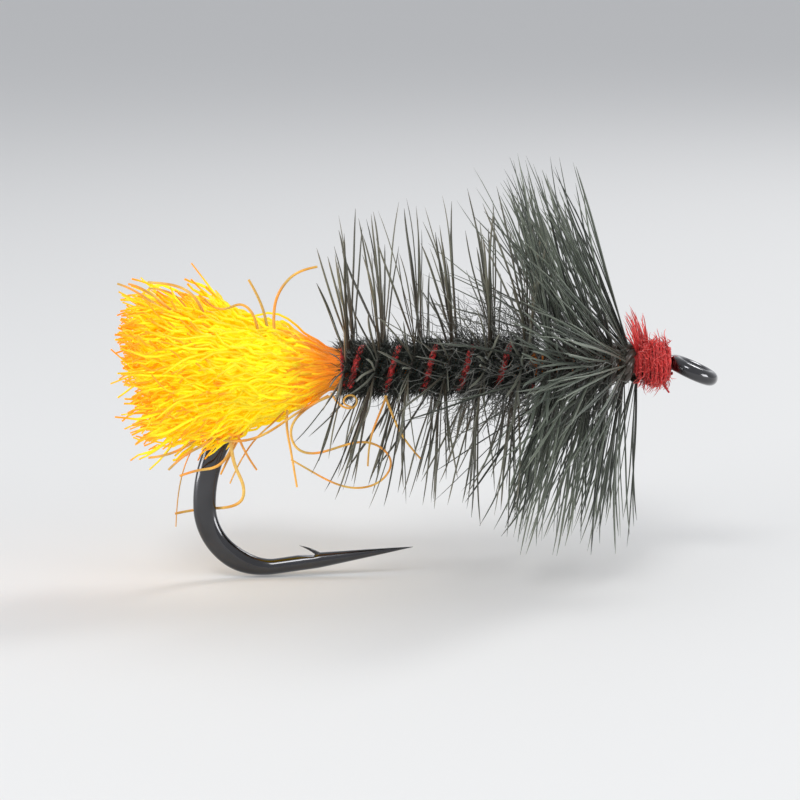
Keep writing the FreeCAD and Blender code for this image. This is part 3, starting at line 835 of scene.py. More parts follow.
@dataclass
class Hook:
    """The hook: one wire from its turned-down eye, along the shank and round the bend to the point.

    Each ring of the neck has its place along X from the middle of the eye's rear wire, and its radius.
    Angles are in degrees. The forging starts and is gained over angles from the start of the bend, and it
    is lost over the last one before the spear.
    """

    neck: tuple[tuple[float, float], ...] = ((0.04, 0.21), (-0.08, 0.25), (-0.2, 0.28))
    shank_radius: float = 0.28
    bore_radius: float = 0.42
    eye_wire: float = 0.24
    eye_land: float = 0.16
    turn_down: float = 25.0
    bend_start: float = -11.7
    rear_radius: float = 4.52
    front_radius: float = 2.08
    forging_start: float = 12.0
    forging_gain: float = 30.0
    forging_loss: float = 45.0
    forged_height: float = 0.38
    forged_thickness: float = 0.23
    squareness: float = 0.5
    spear_rise: float = 7.0
    spear_radius: float = 0.26
    spear_length: float = 1.35
    cut_gap: float = 0.04
    cut_depth: float = 0.42
    point_length: float = 3.25
    point_taper: float = 0.92
    sharpness: float = 0.004
    barb_length: float = 0.6
    barb_angle: float = 33.0
    barb_foot: tuple[float, float] = (0.12, 0.72)
    barb_half_thickness: float = 0.12
    barb_depth: float = 0.075
    barb_taper: float = 0.7
    barb_bow: float = 0.035

    ring_points: ClassVar[int] = 36
    barb_points: ClassVar[int] = 12
    eye_steps: ClassVar[int] = 64
    shank_steps: ClassVar[int] = 12
    rear_steps: ClassVar[int] = 40
    front_steps: ClassVar[int] = 44
    spear_steps: ClassVar[int] = 16
    point_steps: ClassVar[int] = 30
    barb_steps: ClassVar[int] = 8

    def ring_radius(self) -> float:
        """The eye's radius to the middle of its wire."""
        return self.bore_radius + math.sqrt(self.eye_wire**2 - (self.eye_land / 2) ** 2)

    def centres(self, height: float) -> tuple[Vector, Vector]:
        """The centres of the bend's rear and front arcs, with the shank at a height."""
        low = height - self.rear_radius
        ahead = self.bend_start - self.rear_radius + self.front_radius
        return Vector((self.bend_start, 0, low)), Vector((ahead, 0, low))

    def spear(self, height: float) -> tuple[Vector, Vector, Vector]:
        """Where the spear starts, the way it runs and the way square to it, with the shank at a height."""
        turned = math.radians(self.spear_rise)
        onward = Vector((math.cos(turned), 0, math.sin(turned)))
        upward = Vector((-math.sin(turned), 0, math.cos(turned)))
        return self.centres(height)[1] - upward * self.front_radius, onward, upward

    def section(self, centre: Vector, outward: Vector, height: float, thickness: float,
                square: float = 0.0, low: float = 1.0) -> list[Vector]:
        """One ring across the wire.

        Args:
            centre: the wire's centre there.
            outward: the direction out of the bend, square to the wire.
            height: half the wire's size along outward.
            thickness: half its size across.
            square: 0 for round wire, more for flatter sides.
            low: how far the inner side reaches, over height.

        Returns:
            The ring's points.
        """
        power = 2 / (2 + square)
        ring = []
        for k in range(self.ring_points):
            turned = TAU * (k + 0.5) / self.ring_points
            c, s = math.cos(turned), math.sin(turned)
            across = math.copysign(abs(c) ** power, c) * thickness
            rise = max(math.copysign(abs(s) ** power, s), -low) * height
            ring.append(centre + Vector((0, across, 0)) + outward * rise)
        return ring

    def bend_ring(self, centre: Vector, radius: float, degrees: float, last: float) -> list[Vector]:
        """A ring of the bend, degrees past its start, where the wire is more or less forged."""
        turned = math.radians(degrees)
        outward = Vector((-math.sin(turned), 0, math.cos(turned)))
        gain = min(max((degrees - self.forging_start) / self.forging_gain, 0), 1)
        share = gain * min(max((last - degrees) / self.forging_loss, 0), 1)
        share = share * share * (3 - 2 * share)
        plain = self.shank_radius if degrees < 90 else self.spear_radius
        height = plain + (self.forged_height - plain) * share
        thickness = plain + (self.forged_thickness - plain) * share
        return self.section(centre + outward * radius, outward, height, thickness, self.squareness * share)

    def wire(self, height: float) -> bmesh.types.BMesh:
        """The shell of the wire from the neck to the point, with the shank at a height."""
        neck = -self.ring_radius() * math.cos(math.radians(self.turn_down))
        up = Vector((0, 0, 1))
        rings = []
        for ahead, radius in self.neck:
            rings.append(self.section(Vector((neck + ahead, 0, height)), up, radius, radius))
        begin = neck + self.neck[-1][0]
        for step in range(1, self.shank_steps + 1):
            x = begin + (self.bend_start - begin) * step / self.shank_steps
            rings.append(self.section(Vector((x, 0, height)), up, self.shank_radius, self.shank_radius))
        rear, front = self.centres(height)
        last = 180 + self.spear_rise
        for centre, radius, first, stop, steps in (
                (rear, self.rear_radius, 0, 90, self.rear_steps),
                (front, self.front_radius, 90, last, self.front_steps)):
            for step in range(1, steps + 1):
                rings.append(self.bend_ring(centre, radius, first + (stop - first) * step / steps, last))
        start, onward, upward = self.spear(height)
        cut_start, cut_end = self.spear_length - self.barb_length, self.spear_length - self.cut_gap
        round_wire = (self.spear_radius, self.spear_radius, 0.0)
        for step in range(1, self.spear_steps + 1):
            gone = self.spear_length * step / self.spear_steps
            low = 1.0
            if cut_start < gone <= cut_end:
                low = 1.0 - self.cut_depth * (gone - cut_start) / (cut_end - cut_start)
            rings.append(self.section(start + onward * gone, -upward, *round_wire, low))
        for step in range(1, self.point_steps + 1):
            gone = step / self.point_steps
            radius = self.spear_radius * (1 - gone) ** self.point_taper + self.sharpness
            centre = start + onward * (self.spear_length + self.point_length * gone)
            rings.append(self.section(centre, -upward, radius, radius))
        return skin(rings)

    def eye(self) -> bmesh.types.BMesh:
        """The shell of the eye's ring, with the coined flat inside it."""
        major = self.ring_radius()
        tilt = math.radians(self.turn_down)
        along = Vector((math.cos(tilt), 0, -math.sin(tilt)))
        axis = Vector((math.sin(tilt), 0, math.cos(tilt)))
        rings = []
        for step in range(self.eye_steps):
            around = TAU * step / self.eye_steps
            outward = along * math.cos(around) + Vector((0, 1, 0)) * math.sin(around)
            ring = []
            for k in range(self.ring_points):
                turned = TAU * k / self.ring_points
                reach = max(major + self.eye_wire * math.cos(turned), self.bore_radius)
                ring.append(outward * reach + axis * self.eye_wire * math.sin(turned))
            rings.append(ring)
        return skin(rings, closed=True)

    def barb(self, height: float) -> bmesh.types.BMesh:
        """The shell of the sliver that the barb cut raised, broad at its root and sharp at its tip."""
        start, onward, upward = self.spear(height)
        root = start + onward * self.spear_length
        lean = math.radians(180 - self.barb_angle + self.spear_rise)
        way = Vector((math.cos(lean), 0, math.sin(lean)))
        square = way.cross(Vector((0, 1, 0)))
        tip = root + upward * self.spear_radius + way * self.barb_length
        ahead, rise = self.barb_foot
        foot = root + upward * self.spear_radius * rise + onward * ahead
        rings = []
        for step in range(self.barb_steps + 1):
            gone = step / self.barb_steps
            middle = foot.lerp(tip, gone) + upward * self.barb_bow * math.sin(math.pi * gone)
            half = self.barb_half_thickness * (1 - gone) ** self.barb_taper + self.sharpness
            depth = self.barb_depth * (1 - gone) + self.sharpness
            ring = []
            for k in range(self.barb_points):
                turned = TAU * k / self.barb_points
                side = Vector((0, half * math.cos(turned), 0))
                ring.append(middle + side + square * depth * math.sin(turned))
            rings.append(ring)
        return skin(rings)

    def build(self, shank: Shank) -> None:
        """Makes the hook and puts it on the fly."""
        shells = [self.wire(shank.height), self.eye(), self.barb(shank.height)]
        mount(solid("hook_wire", shells, paint(Finish.WIRE)), "hook_wire", "hook")


# ---------------------------------------------------------------- what lies under the body


@dataclass
class Underlay:
    """The thread base, the yarn's butt along the shank, and the ties and stubs that the dressing hides."""

    thread: float = 0.045
    thread_pitch: float = 0.1
    base_reach: float = 0.28
    tie_reach: float = 0.46
    yarn: float = 0.075
    yarn_plies: int = 16
    yarn_reach: float = 0.36
    yarn_gap: float = 0.4

    points_per_turn: ClassVar[int] = 14

    def wraps(self, name: str, node: str, finish: Finish, slot: str, reach: float) -> None:
        """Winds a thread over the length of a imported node.

        Args:
            name: the new piece's name.
            node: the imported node.
            finish: the thread's finish.
            slot: the record's material slot.
            reach: how far the thread's centre is from the shank's.
        """
        low, high = (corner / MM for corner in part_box(node))
        turns = (high.x - low.x) / self.thread_pitch
        wraps = Winding(
            points=int(turns * self.points_per_turn) + 2, seed=int(turns), height=(low.z + high.z) / 2,
            rear=low.x + self.thread, front=high.x - self.thread, turns=turns, radius=reach,
            thickness=self.thread)
        mount(wraps.grow(name, paint(finish)), slot, node)

    def build(self, shank: Shank) -> None:
        """Makes the layers and puts them on the fly."""
        self.wraps("thread_base_wraps", "thread_base", Finish.THREAD, "red_thread", self.base_reach)
        self.wraps("body_tie_off_wraps", "body_tie_off", Finish.BLACK_THREAD, "black_thread", self.tie_reach)
        low, high = (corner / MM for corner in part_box("tail_yarn_butt"))
        butt = Winding(
            plies=self.yarn_plies, points=60, seed=Seed.YARN_BUTT, height=shank.height, rear=low.x,
            front=shank.head_rear - self.yarn_gap, turns=0.7, radius=self.yarn_reach,
            fan=TAU / self.yarn_plies, wander=0.02, thickness=self.yarn)
        mount(butt.grow("tail_yarn_butt_plies", paint(Finish.BUTT)), "tail_yarn", "tail_yarn_butt")
        low, high = (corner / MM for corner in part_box("collar_quill_butt"))
        stub = Winding(
            points=16, seed=Seed.QUILL_STUB, height=shank.height, rear=low.x, front=high.x, turns=0.03,
            phase=math.pi, radius=(low.z + high.z) / 2 - shank.height, thickness=(high.z - low.z) / 2)
        mount(stub.grow("collar_quill_stub", paint(Finish.STEM)), "quill", "collar_quill_butt")


# ---------------------------------------------------------------- loose ends


# How fast each mark of a loose fibre changes along X, per metre, and how fast both change along Z
MARK_RATES = {"along": 2800.0, "tone": 6900.0}
MARK_RISE = 700.0
TIP_THINNING = 0.35


def lay_routes(name: str, routes: Sequence[tuple[Route, float]], radius: float,
               material: bpy.types.Material) -> bpy.types.Object:
    """Makes loose fibres, each a smooth tube along its own route.

    Args:
        name: the piece's name.
        routes: each fibre's points in millimetres, and its thickness over the usual one.
        radius: the usual radius in millimetres.
        material: the material.

    Returns:
        The piece.
    """
    rigging = bpy.data.curves.new(name, "CURVE")
    rigging.dimensions = "3D"
    rigging.bevel_depth = radius * MM
    rigging.bevel_resolution = 3
    rigging.use_fill_caps = True
    for route, size in routes:
        line = rigging.splines.new("NURBS")
        line.points.add(len(route) - 1)
        for step, (point, place) in enumerate(zip(line.points, route)):
            point.co = (*(c * MM for c in place), 1.0)
            point.radius = size * (1.0 - TIP_THINNING * step / len(route))
        line.order_u = min(4, len(route))
        line.use_endpoint_u = True
        line.resolution_u = 12
    host = place_object(name + "_route", rigging)
    mesh = bpy.data.meshes.new_from_object(host)
    bpy.data.objects.remove(host)
    mesh.name = name
    for mark, rate in MARK_RATES.items():
        values = mesh.attributes.new(mark, "FLOAT", "POINT").data
        for vertex, value in zip(mesh.vertices, values):
            value.value = 0.5 + 0.35 * math.sin(vertex.co.x * rate + vertex.co.z * MARK_RISE)
    mesh.materials.clear()
    mesh.materials.append(material)
    mesh.shade_smooth()
    return place_object(name, mesh)


# ---------------------------------------------------------------- tail


@dataclass
class Tail:
    """The teased yarn tail, its red binding and the fibres that have come loose.

    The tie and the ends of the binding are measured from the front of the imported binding.
    """

    angles: tuple[float, ...] = (35.0, 80.0, 125.0, 180.0, 235.0, 280.0, 325.0)
    edge_sector: float = 70.0
    sector: float = 52.0
    tie: float = -0.08
    binding: tuple[float, float] = (-0.12, 0.04)
    fibres: int = 340
    length: float = 7.0
    length_above: float = 0.35
    droop_below: float = 0.25
    flyaways: int = 60
    strand_radius: float = 0.056

    def build(self, shank: Shank) -> None:
        """Makes the tail and puts it on the fly."""
        for number, angle in enumerate(self.angles, 1):
            self.ply(shank, number, angle)
        rear, front = (shank.tail_front + step for step in self.binding)
        wraps = Winding(points=300, seed=Seed.BINDING, height=shank.height, rear=rear, front=front, turns=3.0,
                        radius=0.66, thickness=0.045, wander=0.06)
        mount(wraps.grow("tail_binding_wraps", paint(Finish.THREAD)), "red_thread", "tail_binding")
        strands = lay_routes("loose_strands", STRANDS, self.strand_radius, paint(Finish.STRAY))
        mount(strands, "loose_yarn", "loose_tail_strands")

    def ply(self, shank: Shank, number: int, angle: float) -> None:
        """Makes one ply's fibres, at an angle in degrees round the shank, and those that fly away from it."""
        name = f"tail_ply_{number}"
        edge = number in (1, len(self.angles))
        place = {"height": shank.height, "tie": shank.tail_front + self.tie, "angle": math.radians(angle),
                 "spread": math.radians(self.edge_sector if edge else self.sector)}
        upward = -math.cos(math.radians(angle))
        ply = YarnPly(count=self.fibres, seed=Seed.PLY + number,
                      length=self.length + self.length_above * upward,
                      droop=self.droop_below * max(-upward, 0.0), **place)
        mount(ply.grow(name + "_fibres", paint(Finish.YARN)), "tail_yarn", name)
        loose = YarnPly(count=self.flyaways, seed=Seed.FLYAWAYS + number, length=7.35, length_spread=2.6,
                        crimp=0.3, crimp_pitch=0.7, curl=1.7, frizz=0.7, thickness=0.055, **place)
        mount(loose.grow(name + "_flyaways", paint(Finish.YARN)), "tail_yarn")


# Routes of the loose fibres, with each one's thickness over the usual one
STRANDS: tuple[tuple[Route, float], ...] = (
    (((-12.0, -0.6, -0.5), (-12.6, -0.8, -0.75), (-13.3, -1.0, -1.25), (-13.25, -1.1, -1.95),
      (-12.9, -1.2, -2.3), (-12.3, -1.15, -2.32), (-11.6, -1.0, -2.1), (-10.9, -0.9, -1.95),
      (-10.3, -0.9, -2.15), (-9.9, -0.9, -2.65), (-10.15, -1.0, -3.2), (-10.7, -1.1, -3.5),
      (-11.4, -1.2, -3.5), (-12.1, -1.3, -3.2), (-12.7, -1.35, -2.8), (-13.25, -1.4, -2.45)), 0.8),
    (((-13.6, -0.5, 0.7), (-13.72, -0.6, 1.4), (-13.74, -0.6, 2.1), (-13.66, -0.7, 2.75),
      (-13.3, -0.8, 3.35), (-12.85, -0.85, 3.7), (-12.25, -0.9, 3.8)), 1.0),
    (((-13.8, -0.5, 0.8), (-13.9, -0.6, 1.4), (-13.96, -0.6, 2.1), (-14.15, -0.65, 2.75),
      (-14.5, -0.7, 3.4)), 1.0),
    (((-14.0, -0.6, 0.9), (-14.2, -0.7, 1.5), (-14.3, -0.75, 2.1), (-14.5, -0.8, 2.5),
      (-14.85, -0.85, 2.68), (-15.25, -0.9, 2.42), (-15.65, -0.9, 2.5), (-15.95, -0.9, 2.82)), 0.9),
    (((-15.6, -0.9, 1.2), (-15.75, -1.0, 1.8), (-15.95, -1.05, 2.35), (-16.2, -1.1, 2.9),
      (-16.6, -1.1, 3.25), (-17.1, -1.1, 3.38), (-17.75, -1.0, 3.42)), 1.0),
    (((-15.3, -0.9, -1.3), (-15.22, -1.0, -2.1), (-15.15, -1.0, -2.7), (-14.9, -1.0, -3.15),
      (-14.83, -0.9, -3.55), (-14.9, -0.8, -3.9), (-15.2, -0.6, -4.12), (-15.6, -0.1, -4.28),
      (-15.95, 0.5, -4.4), (-16.6, 0.6, -4.45), (-17.25, 0.5, -4.56)), 1.1),
    (((-15.0, -0.8, -1.4), (-15.13, -0.9, -1.95), (-15.3, -0.95, -2.35), (-15.6, -0.9, -2.68),
      (-15.95, -0.85, -2.83), (-16.4, -0.8, -2.84), (-16.95, -0.7, -3.05)), 1.0),
    (((-17.2, -1.0, -1.0), (-16.9, -1.1, -1.4), (-16.05, -1.2, -1.65), (-15.0, -1.2, -1.92),
      (-14.1, -1.1, -1.7), (-13.3, -1.0, -1.15), (-12.6, -0.9, -0.72), (-11.85, -0.8, -0.45)), 0.9),
    (((-13.35, -0.8, -0.9), (-13.42, -0.9, -1.4), (-13.3, -0.95, -2.0), (-13.2, -1.0, -2.7),
      (-13.1, -1.0, -3.45)), 0.8),
    (((-10.1, -0.8, -0.5), (-10.25, -0.9, -0.9), (-10.55, -0.95, -1.5), (-10.72, -1.0, -2.1),
      (-10.76, -1.0, -2.8)), 0.75),
    (((-10.15, -0.8, -0.5), (-10.0, -0.85, -0.9), (-9.8, -0.9, -1.5), (-9.5, -0.9, -2.05),
      (-9.03, -0.9, -2.6)), 0.75),
    (((-16.2, 0.7, -1.6), (-16.5, 0.8, -2.2), (-16.85, 0.85, -2.8), (-17.12, 0.85, -3.7),
      (-17.22, 0.8, -4.5), (-17.25, 0.7, -5.05)), 0.45),
    (((-16.6, -0.9, 1.9), (-17.1, -1.0, 2.4), (-17.7, -1.0, 2.8), (-18.3, -1.0, 3.25),
      (-18.75, -0.9, 3.38)), 0.9),
    (((-16.4, -0.7, 1.9), (-16.9, -0.8, 2.3), (-17.5, -0.85, 2.95), (-18.1, -0.9, 3.3),
      (-18.4, -0.8, 3.35)), 0.9),
    (((-16.0, -0.5, 1.9), (-16.5, -0.6, 2.4), (-16.8, -0.7, 2.9), (-17.2, -0.8, 3.15),
      (-17.75, -0.8, 3.2)), 0.8),
    (((-15.2, -0.9, -1.2), (-15.7, -1.0, -1.75), (-16.2, -1.05, -2.05), (-16.75, -1.0, -2.25),
      (-17.3, -0.9, -2.8)), 0.95),
    (((-15.5, -0.8, -1.1), (-16.0, -0.9, -1.5), (-16.5, -0.95, -1.95), (-17.3, -0.9, -2.35),
      (-17.95, -0.8, -2.4)), 0.95),
    (((-14.6, -0.7, -1.2), (-14.9, -0.8, -1.7), (-15.2, -0.85, -2.2), (-15.6, -0.85, -3.0)), 0.8),
    (((-15.1, -0.9, -1.3), (-14.95, -1.0, -1.9), (-14.75, -1.05, -2.3), (-14.4, -1.0, -2.85)), 0.8),
    (((-13.2, -0.6, -0.6), (-13.6, -0.8, -1.2), (-14.2, -0.9, -1.5), (-14.9, -0.9, -2.4),
      (-15.3, -0.9, -3.3)), 0.6),
    (((-11.9, -0.75, -0.4), (-11.7, -0.95, -0.75), (-11.3, -1.05, -0.95), (-11.0, -1.0, -0.7),
      (-11.15, -0.95, -0.4), (-11.5, -0.95, -0.45), (-11.55, -1.0, -0.75), (-11.25, -1.05, -0.8)), 0.7),
)


# ---------------------------------------------------------------- body


@dataclass
class Body:
    """The herl body with its red floss rib."""

    pitch: float = 1.22
    overlap: float = 0.12
    herls: int = 4
    herl_radius: float = 0.544
    herl_thickness: float = 0.13
    flue: int = 1400
    flue_foot: float = 0.02
    rib_radius: float = 0.69
    rib_start: float = -45.0

    def build(self, shank: Shank) -> None:
        """Makes the body and puts it on the fly."""
        rear = shank.body_rear - self.overlap
        turns = (shank.body_front - rear) / self.pitch
        for number in range(self.herls):
            name = f"body_herl_{number + 1}"
            course = {"height": shank.height, "front": shank.body_front, "turns": turns,
                      "phase": math.radians(number * 360 / self.herls)}
            strand = Winding(points=260, seed=Seed.HERL + number, rear=rear, radius=self.herl_radius,
                             thickness=self.herl_thickness, wander=0.03, **course)
            mount(strand.grow(name + "_strand", paint(Finish.HERL)), "herl", name)
            flue = Barbs(count=self.flue, points=5, seed=Seed.FLUE + number, rear=rear - self.overlap,
                         root=self.herl_radius + self.flue_foot, length=0.6, length_spread=0.6, lean=0.25,
                         lean_spread=1.0, clump=0.6, stray=0.3, swing=1.0, curl=0.5, wobble=0.14, pitch=2.5,
                         thickness=0.025, **course)
            mount(flue.grow(name + "_flue", paint(Finish.HERL)), "herl")
        turns = (shank.body_front - shank.body_rear) / self.pitch
        rib = Winding(plies=3, points=420, seed=Seed.RIB, height=shank.height, rear=shank.body_rear,
                      front=shank.body_front, turns=turns, phase=math.radians(self.rib_start),
                      radius=self.rib_radius, lay_radius=0.06, twist=26.0, thickness=0.058, wander=0.02)
        mount(rib.grow("rib_floss_wraps", paint(Finish.THREAD)), "red_thread", "rib_floss")


# ---------------------------------------------------------------- hackles


@dataclass
class Hackles:
    """The body hackle, the collar hackle and the web at their barbs' feet. Leans are in degrees."""

    pitch: float = 1.22
    palmer_turns: int = 5
    palmer_barbs: int = 46
    palmer_length: float = 4.9
    palmer_growth: float = 0.12
    palmer_belly: float = 0.2
    belly_loss: float = 0.03
    palmer_root: float = 0.71
    palmer_start: float = 135.0
    overlap: float = 0.3
    collar_turns: int = 6
    collar_barbs: int = 80
    collar_root: float = 0.47
    collar_reach: float = 0.15
    stem_inset: float = 0.02
    leans: tuple[float, float] = (13.5, 11.0)
    leans_up: tuple[float, float] = (-3.5, 7.0)
    leans_side: tuple[float, float] = (-6.0, 13.0)
    web_rear: float = -7.4
    web_gap: float = 0.6

    def palmer(self, shank: Shank) -> None:
        """The open turns along the body. The first has half a turn more, and it leans differently."""
        for turn in range(self.palmer_turns):
            name = f"palmer_hackle_turn_{turn + 1}"
            front = shank.body_rear + (turn + 1) * self.pitch
            rear = front - self.pitch
            around, begin, lean, lean_up = 1.0, self.palmer_start, 4, -2
            if turn == 0:
                rear = rear - self.overlap
                around, begin, lean, lean_up = 1.5, self.palmer_start + 180, 8, -7
            course = {"height": shank.height, "rear": rear, "front": front, "turns": around,
                      "phase": math.radians(begin)}
            stem = Winding(points=90, seed=Seed.BODY_STEM + turn, radius=self.palmer_root, thickness=0.055,
                           **course)
            mount(stem.grow(name + "_stem", paint(Finish.STEM)), "quill")
            barbs = Barbs(count=round(self.palmer_barbs * around), points=13, seed=Seed.BODY_BARBS + turn,
                          root=self.palmer_root, length=self.palmer_length + self.palmer_growth * turn,
                          length_spread=0.28, belly=self.palmer_belly - self.belly_loss * turn,
                          lean=math.radians(lean), lean_up=math.radians(lean_up), lean_spread=0.16,
                          clump=0.12, stray=0.6, swing=0.2, curl=0.06, wobble=0.12, pitch=0.3,
                          thickness=0.06, **course)
            mount(barbs.grow(name + "_barbs", paint(Finish.BODY_HACKLE)), "body_hackle", name)

    def collar(self, shank: Shank) -> None:
        """The close turns behind the head."""
        pitch = (shank.head_rear + self.collar_reach - shank.collar_rear) / self.collar_turns
        for turn in range(self.collar_turns):
            name = f"collar_hackle_turn_{turn + 1}"
            rear = shank.collar_rear + turn * pitch
            course = {"height": shank.height, "rear": rear, "front": rear + pitch, "turns": 1.0}
            share = turn / (self.collar_turns - 1)
            lean, up, side = (math.radians(first + (last - first) * share)
                              for first, last in (self.leans, self.leans_up, self.leans_side))
            stem = Winding(plies=3, points=90, seed=Seed.COLLAR_STEM + turn, lay_radius=0.13, twist=3.0,
                           radius=self.collar_root - self.stem_inset, thickness=0.13, **course)
            mount(stem.grow(name + "_stem", paint(Finish.STEM)), "quill")
            barbs = Barbs(count=self.collar_barbs, points=14, seed=Seed.COLLAR_BARBS + turn,
                          root=self.collar_root, length=6.9, length_spread=0.24, belly=0.13, lean=lean,
                          lean_up=up, lean_side=side, lean_spread=0.14, clump=0.1, stray=0.9, swing=0.16,
                          curl=0.1, wobble=0.12, pitch=0.25, thickness=0.055, **course)
            mount(barbs.grow(name + "_barbs", paint(Finish.COLLAR_HACKLE)), "collar_hackle", name)

    def web(self, shank: Shank) -> None:
        """The soft, curly down at the feet of the barbs, thickest towards the collar."""
        stretches = ((shank.body_rear, shank.body_front, 260, 1.1),
                     (self.web_rear, shank.head_rear - self.web_gap, 760, 2.5))
        for number, (rear, front, count, length) in enumerate(stretches):
            down = Barbs(count=count, points=12, seed=Seed.WEB + number, height=shank.height, rear=rear,
                         front=front, turns=9.3, root=0.5, length=length, length_spread=0.6, lean=0.35,
                         lean_spread=0.6, clump=0.5, stray=0.3, swing=0.6, curl=0.6, wobble=0.6, pitch=1.5,
                         thickness=0.02)
            mount(down.grow(f"hackle_web_{number + 1}", paint(Finish.WEB)), "body_hackle")

    def build(self, shank: Shank) -> None:
        """Makes the hackles and puts them on the fly."""
        self.palmer(shank)
        self.collar(shank)
        self.web(shank)


# ---------------------------------------------------------------- head


@dataclass
class Head:
    """The red thread head: crossed wraps, their fuzz and the trimmed floss behind them.

    Each pass has its turns, its radius and how much it swells. The ends of the stubs are measured from the
    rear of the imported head.
    """

    thread: float = 0.042
    passes: tuple[Spot, ...] = ((11.0, 0.41, 0.24), (-8.0, 0.40, 0.29), (9.0, 0.39, 0.33))
    shift: float = 0.08
    lay_share: float = 0.55
    ply_share: float = 0.62
    phase_step: float = 1.9
    fuzz_rear: float = 0.25
    stubs: tuple[float, float] = (0.12, 0.6)
    stubs_angle: float = 220.0

    def wraps(self, shank: Shank) -> None:
        """The crossed passes of thread."""
        for number, (turns, radius, swell) in enumerate(self.passes, 1):
            wraps = Winding(
                plies=2, points=620, seed=Seed.HEAD + number, height=shank.height,
                rear=shank.head_rear + self.shift, front=shank.head_front + self.shift, turns=turns,
                radius=radius, swell=swell, crest=0.6, lay_radius=self.thread * self.lay_share, twist=60.0,
                thickness=self.thread * self.ply_share, wander=0.08, phase=number * self.phase_step)
            nodes = ("thread_head", "whip_finish") if number == 1 else ()
            mount(wraps.grow(f"thread_head_wraps_{number}", paint(Finish.THREAD)), "red_thread", *nodes)

    def tag(self) -> None:
        """The cut end of the tying thread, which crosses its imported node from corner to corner."""
        low, high = (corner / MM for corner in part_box("thread_tag"))
        route = ((low.x, high.y, high.z), (low.x + 0.06, high.y - 0.05, high.z - 0.14),
                 (high.x - 0.12, low.y + 0.02, low.z + 0.16), (high.x, low.y, low.z))
        tag = lay_routes("thread_tag_end", ((route, 1.0),), self.thread, paint(Finish.THREAD))
        mount(tag, "red_thread", "thread_tag")

    def build(self, shank: Shank) -> None:
        """Makes the head and puts it on the fly."""
        self.wraps(shank)
        self.tag()
        fuzz = Barbs(count=460, points=7, seed=Seed.HEAD_FUZZ, height=shank.height,
                     rear=shank.head_rear + self.fuzz_rear, front=shank.head_front, turns=7.0, root=0.6,
                     length=0.42, length_spread=0.7, lean=0.1, lean_spread=1.1, clump=0.3, stray=0.2,
                     swing=1.3, curl=0.6, wobble=0.25, pitch=2.0, thickness=0.022)
        mount(fuzz.grow("thread_head_fuzz", paint(Finish.THREAD)), "red_thread")
        rear, front = (shank.head_rear + step for step in self.stubs)
        stubs = Barbs(count=52, points=8, seed=Seed.FLOSS_STUBS, height=shank.height, rear=rear, front=front,
                      turns=0.2, phase=math.radians(self.stubs_angle), root=0.45, length=1.6,
                      length_spread=0.65, lean=0.27, lean_spread=0.2, clump=0.12, stray=0.2, swing=0.15,
                      curl=0.12, wobble=0.12, pitch=1.0, thickness=0.032)
        mount(stubs.grow("rib_floss_stubs", paint(Finish.THREAD)), "red_thread", "rib_floss_end")


# ---------------------------------------------------------------- room, lights and camera


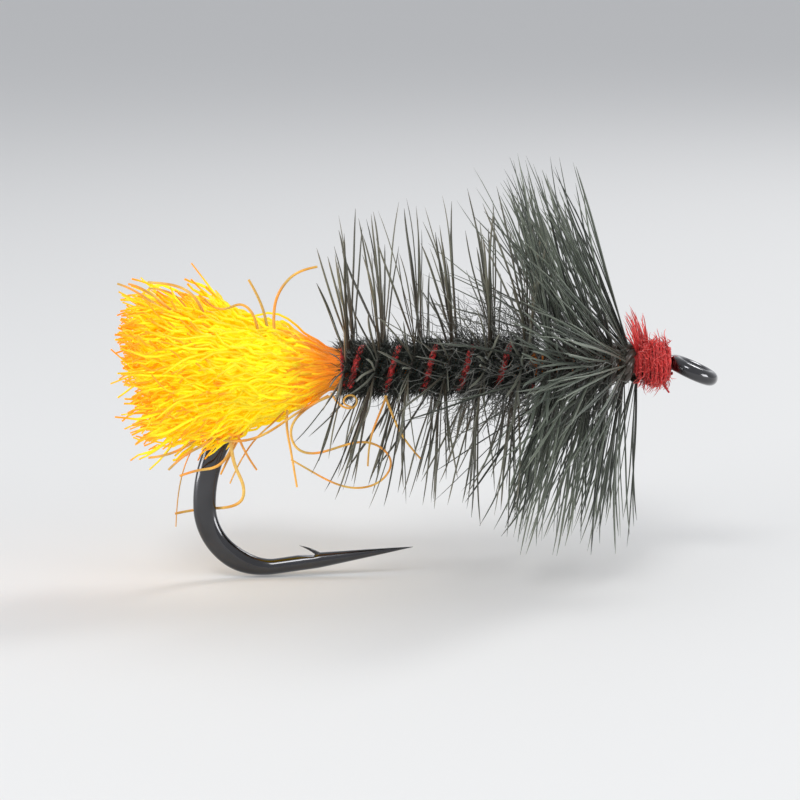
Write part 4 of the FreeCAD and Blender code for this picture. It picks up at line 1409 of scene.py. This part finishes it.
@dataclass
class Studio:
    """The pale bench, the soft lights and the camera.

    Each lamp has its place, the width of its square face and its power in watts.
    """

    aim: Spot = (-9.66, 0.0, -0.79)
    width: float = 26.4
    lens: float = 130.0
    sensor: float = 36.0
    elevation: float = 9.5
    roll: float = 1.2
    glow: Colour = (0.93, 0.95, 1.0)
    glow_strength: float = 0.6
    bench_reach: float = 6.0

    lamps: ClassVar[dict[str, tuple[Spot, float, float]]] = {
        "key": ((-60.0, -150.0, 200.0), 75.0, 0.16),
        "rim": ((90.0, 110.0, 150.0), 60.0, 0.11),
        "right": ((120.0, -70.0, 5.0), 75.0, 0.15),
        "left": ((-140.0, -60.0, 5.0), 80.0, 0.17),
    }

    def camera(self) -> None:
        """Sets up the camera at the side of the fly, a little above it."""
        data = bpy.data.cameras.new("view")
        data.lens, data.sensor_width = self.lens, self.sensor
        data.clip_start, data.clip_end = 0.001, 10.0
        view = place_object("view", data)
        distance = self.width * self.lens / self.sensor
        rise = math.radians(self.elevation)
        offset = Vector((0.0, -math.cos(rise), math.sin(rise))) * distance
        view.location = (Vector(self.aim) + offset) * MM
        view.rotation_euler = (-offset).to_track_quat("-Z", "Y").to_euler()
        view.rotation_euler.rotate_axis("Z", math.radians(-self.roll))
        bpy.context.scene.camera = view

    def lights(self) -> None:
        """Hangs the lights, all facing the fly, and sets the room's own glow."""
        for name, (place, size, watts) in self.lamps.items():
            data = bpy.data.lights.new(name, "AREA")
            data.shape, data.size, data.energy = "SQUARE", size * MM, watts
            lamp = place_object(name, data)
            lamp.location = Vector(place) * MM
            lamp.visible_camera = False
            lamp.rotation_euler = (Vector(self.aim) - Vector(place)).to_track_quat("-Z", "Y").to_euler()
        world = bpy.data.worlds.new("room")
        world.use_nodes = True
        background = world.node_tree.nodes["Background"]
        background.inputs[0].default_value = (*self.glow, 1.0)
        background.inputs[1].default_value = self.glow_strength
        bpy.context.scene.world = world
        bpy.context.scene.view_settings.view_transform = "Standard"

    def floor(self, level: float) -> None:
        """Lays the bench at a height in metres."""
        reach = self.bench_reach
        corners = [(x * reach, y * reach, level) for x, y in ((-1, -1), (1, -1), (1, 1), (-1, 1))]
        mesh = bpy.data.meshes.new("bench")
        mesh.from_pydata(corners, [], [(0, 1, 2, 3)])
        mesh.materials.append(paint(Finish.CARD))
        bench = place_object("bench", mesh)
        bench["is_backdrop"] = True


# How far the bench lies below the lowest point, in metres
BENCH_GAP = 0.00005


def main() -> None:
    """Builds the fly, piece by piece, on its frame."""
    logging.basicConfig(level=logging.INFO, format="%(name)s: %(message)s")
    cad_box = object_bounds()
    studio = Studio()
    studio.camera()
    shank = Shank.measure()
    LOG.info("sizes from the frame: %s", shank)
    for dressing in (Hook(), Underlay(), Tail(), Body(), Hackles(), Head()):
        dressing.build(shank)
    studio.lights()
    look_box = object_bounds()
    studio.floor(min(look_box[0][2], cad_box[0][2]) - BENCH_GAP)


if __name__ == "__main__":
    main()
